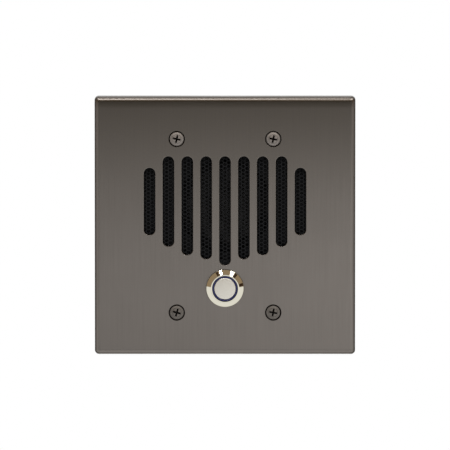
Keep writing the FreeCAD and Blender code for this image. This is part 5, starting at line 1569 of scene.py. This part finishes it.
    def tent(self) -> None:
        """Adds a tent of cloth round the front: brown above the object, pale below it and grey beside it."""
        azimuths = [-150.0 + 5.0 * step for step in range(61)]
        elevations = [-90.0 + 4.5 * step for step in range(41)]
        rows = []
        for elevation in elevations:
            points = [self.direction(azimuth, elevation) * self.tent_radius for azimuth in azimuths]
            rows.append([Vector((point.x, point.y, max(point.z, self.tent_foot))) for point in points])
        tree, light = self.reflection("reflection_tent", grid(rows, wrap=False))
        place = add_node(tree, "TexCoord").outputs["Object"]
        way = add_node(tree, "VectorMath", {0: place}, operation="NORMALIZE").outputs[0]
        part = add_node(tree, "SeparateXYZ", {0: way})
        above = add_node(tree, "MapRange", {0: part.outputs[2], 1: -0.06, 2: -0.02}).outputs[0]
        beside = add_node(tree, "MapRange", {0: part.outputs[1], 1: -0.22, 2: 0.05}).outputs[0]
        front = add_node(tree, "Mix", {0: above, 6: linear(WHITE), 7: linear("#a08c73")}, data_type="RGBA")
        sides = {0: beside, 6: front.outputs[2], 7: linear("#847f7a")}
        tone = add_node(tree, "Mix", sides, data_type="RGBA")
        tree.links.new(tone.outputs[2], light.inputs["Color"])

    def flags(self) -> None:
        """Hangs dark flags just inside the tent, which the bezel mirrors."""
        made = Shape()
        spots = ((-45.5, 50.0, 9.0, 8.0), (55.0, 41.0, 8.0, 9.0), (69.5, 4.0, 6.0, 10.0))
        for azimuth, elevation, width, height in spots:
            rows = []
            for rise in range(5):
                level = elevation + height * (rise / 4 - 0.5)
                ways = [self.direction(azimuth + width * (side / 12 - 0.5), level) for side in range(13)]
                rows.append([way * self.tent_radius * self.flag_share for way in ways])
            made += grid(rows, wrap=False)
        light = self.reflection("reflection_flags", made)[1]
        light.inputs["Color"].default_value = linear("#3a2a1e")

    def screen(self) -> None:
        """Adds a sheet in front of the plate that grows dark upwards, which the plate mirrors."""
        corners = [Vector((x, -self.screen_distance, z)) for x, z in rectangle(0.72, 0.4)]
        tree, light = self.reflection("reflection_screen", Shape(corners, [(0, 1, 2, 3)]))
        part = add_node(tree, "SeparateXYZ", {0: add_node(tree, "TexCoord").outputs["Object"]})
        side, level = part.outputs[0], part.outputs[2]
        dusk = {0: level, 1: -0.04, 2: 0.036}
        above = add_node(tree, "MapRange", dusk, interpolation_type="SMOOTHSTEP").outputs[0]
        across = add_node(tree, "MapRange", {0: side, 1: -0.15, 2: 0.15, 3: 0.74, 4: 1.32}).outputs[0]
        low = add_node(tree, "MapRange", {0: level, 1: -0.15, 2: -0.1, 3: 0.45, 4: 1.0}).outputs[0]
        high = add_node(tree, "MapRange", {0: level, 1: 0.045, 2: 0.07, 3: 1.0, 4: 0.4}).outputs[0]
        strength = add_node(tree, "Mix", {0: above, 2: across, 3: 0.92}).outputs[0]
        for share in (low, high):
            strength = add_node(tree, "Math", {0: strength, 1: share}, operation="MULTIPLY").outputs[0]
        tone = add_node(tree, "Mix", {0: above, 6: linear(WHITE), 7: linear("#6c6552")}, data_type="RGBA")
        tree.links.new(tone.outputs[2], light.inputs["Color"])
        tree.links.new(strength, light.inputs["Strength"])


def main() -> None:
    """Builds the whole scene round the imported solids."""
    logging.basicConfig(level=logging.INFO, format="%(message)s")
    for thing in list(bpy.data.objects):
        bpy.data.objects.remove(thing)
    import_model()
    shop = Workshop()
    for part in (Faceplate(), PushButton(), Speaker(), TerminalBoard()):
        part.build(shop)
    Studio().build()


if __name__ == "__main__":
    main()
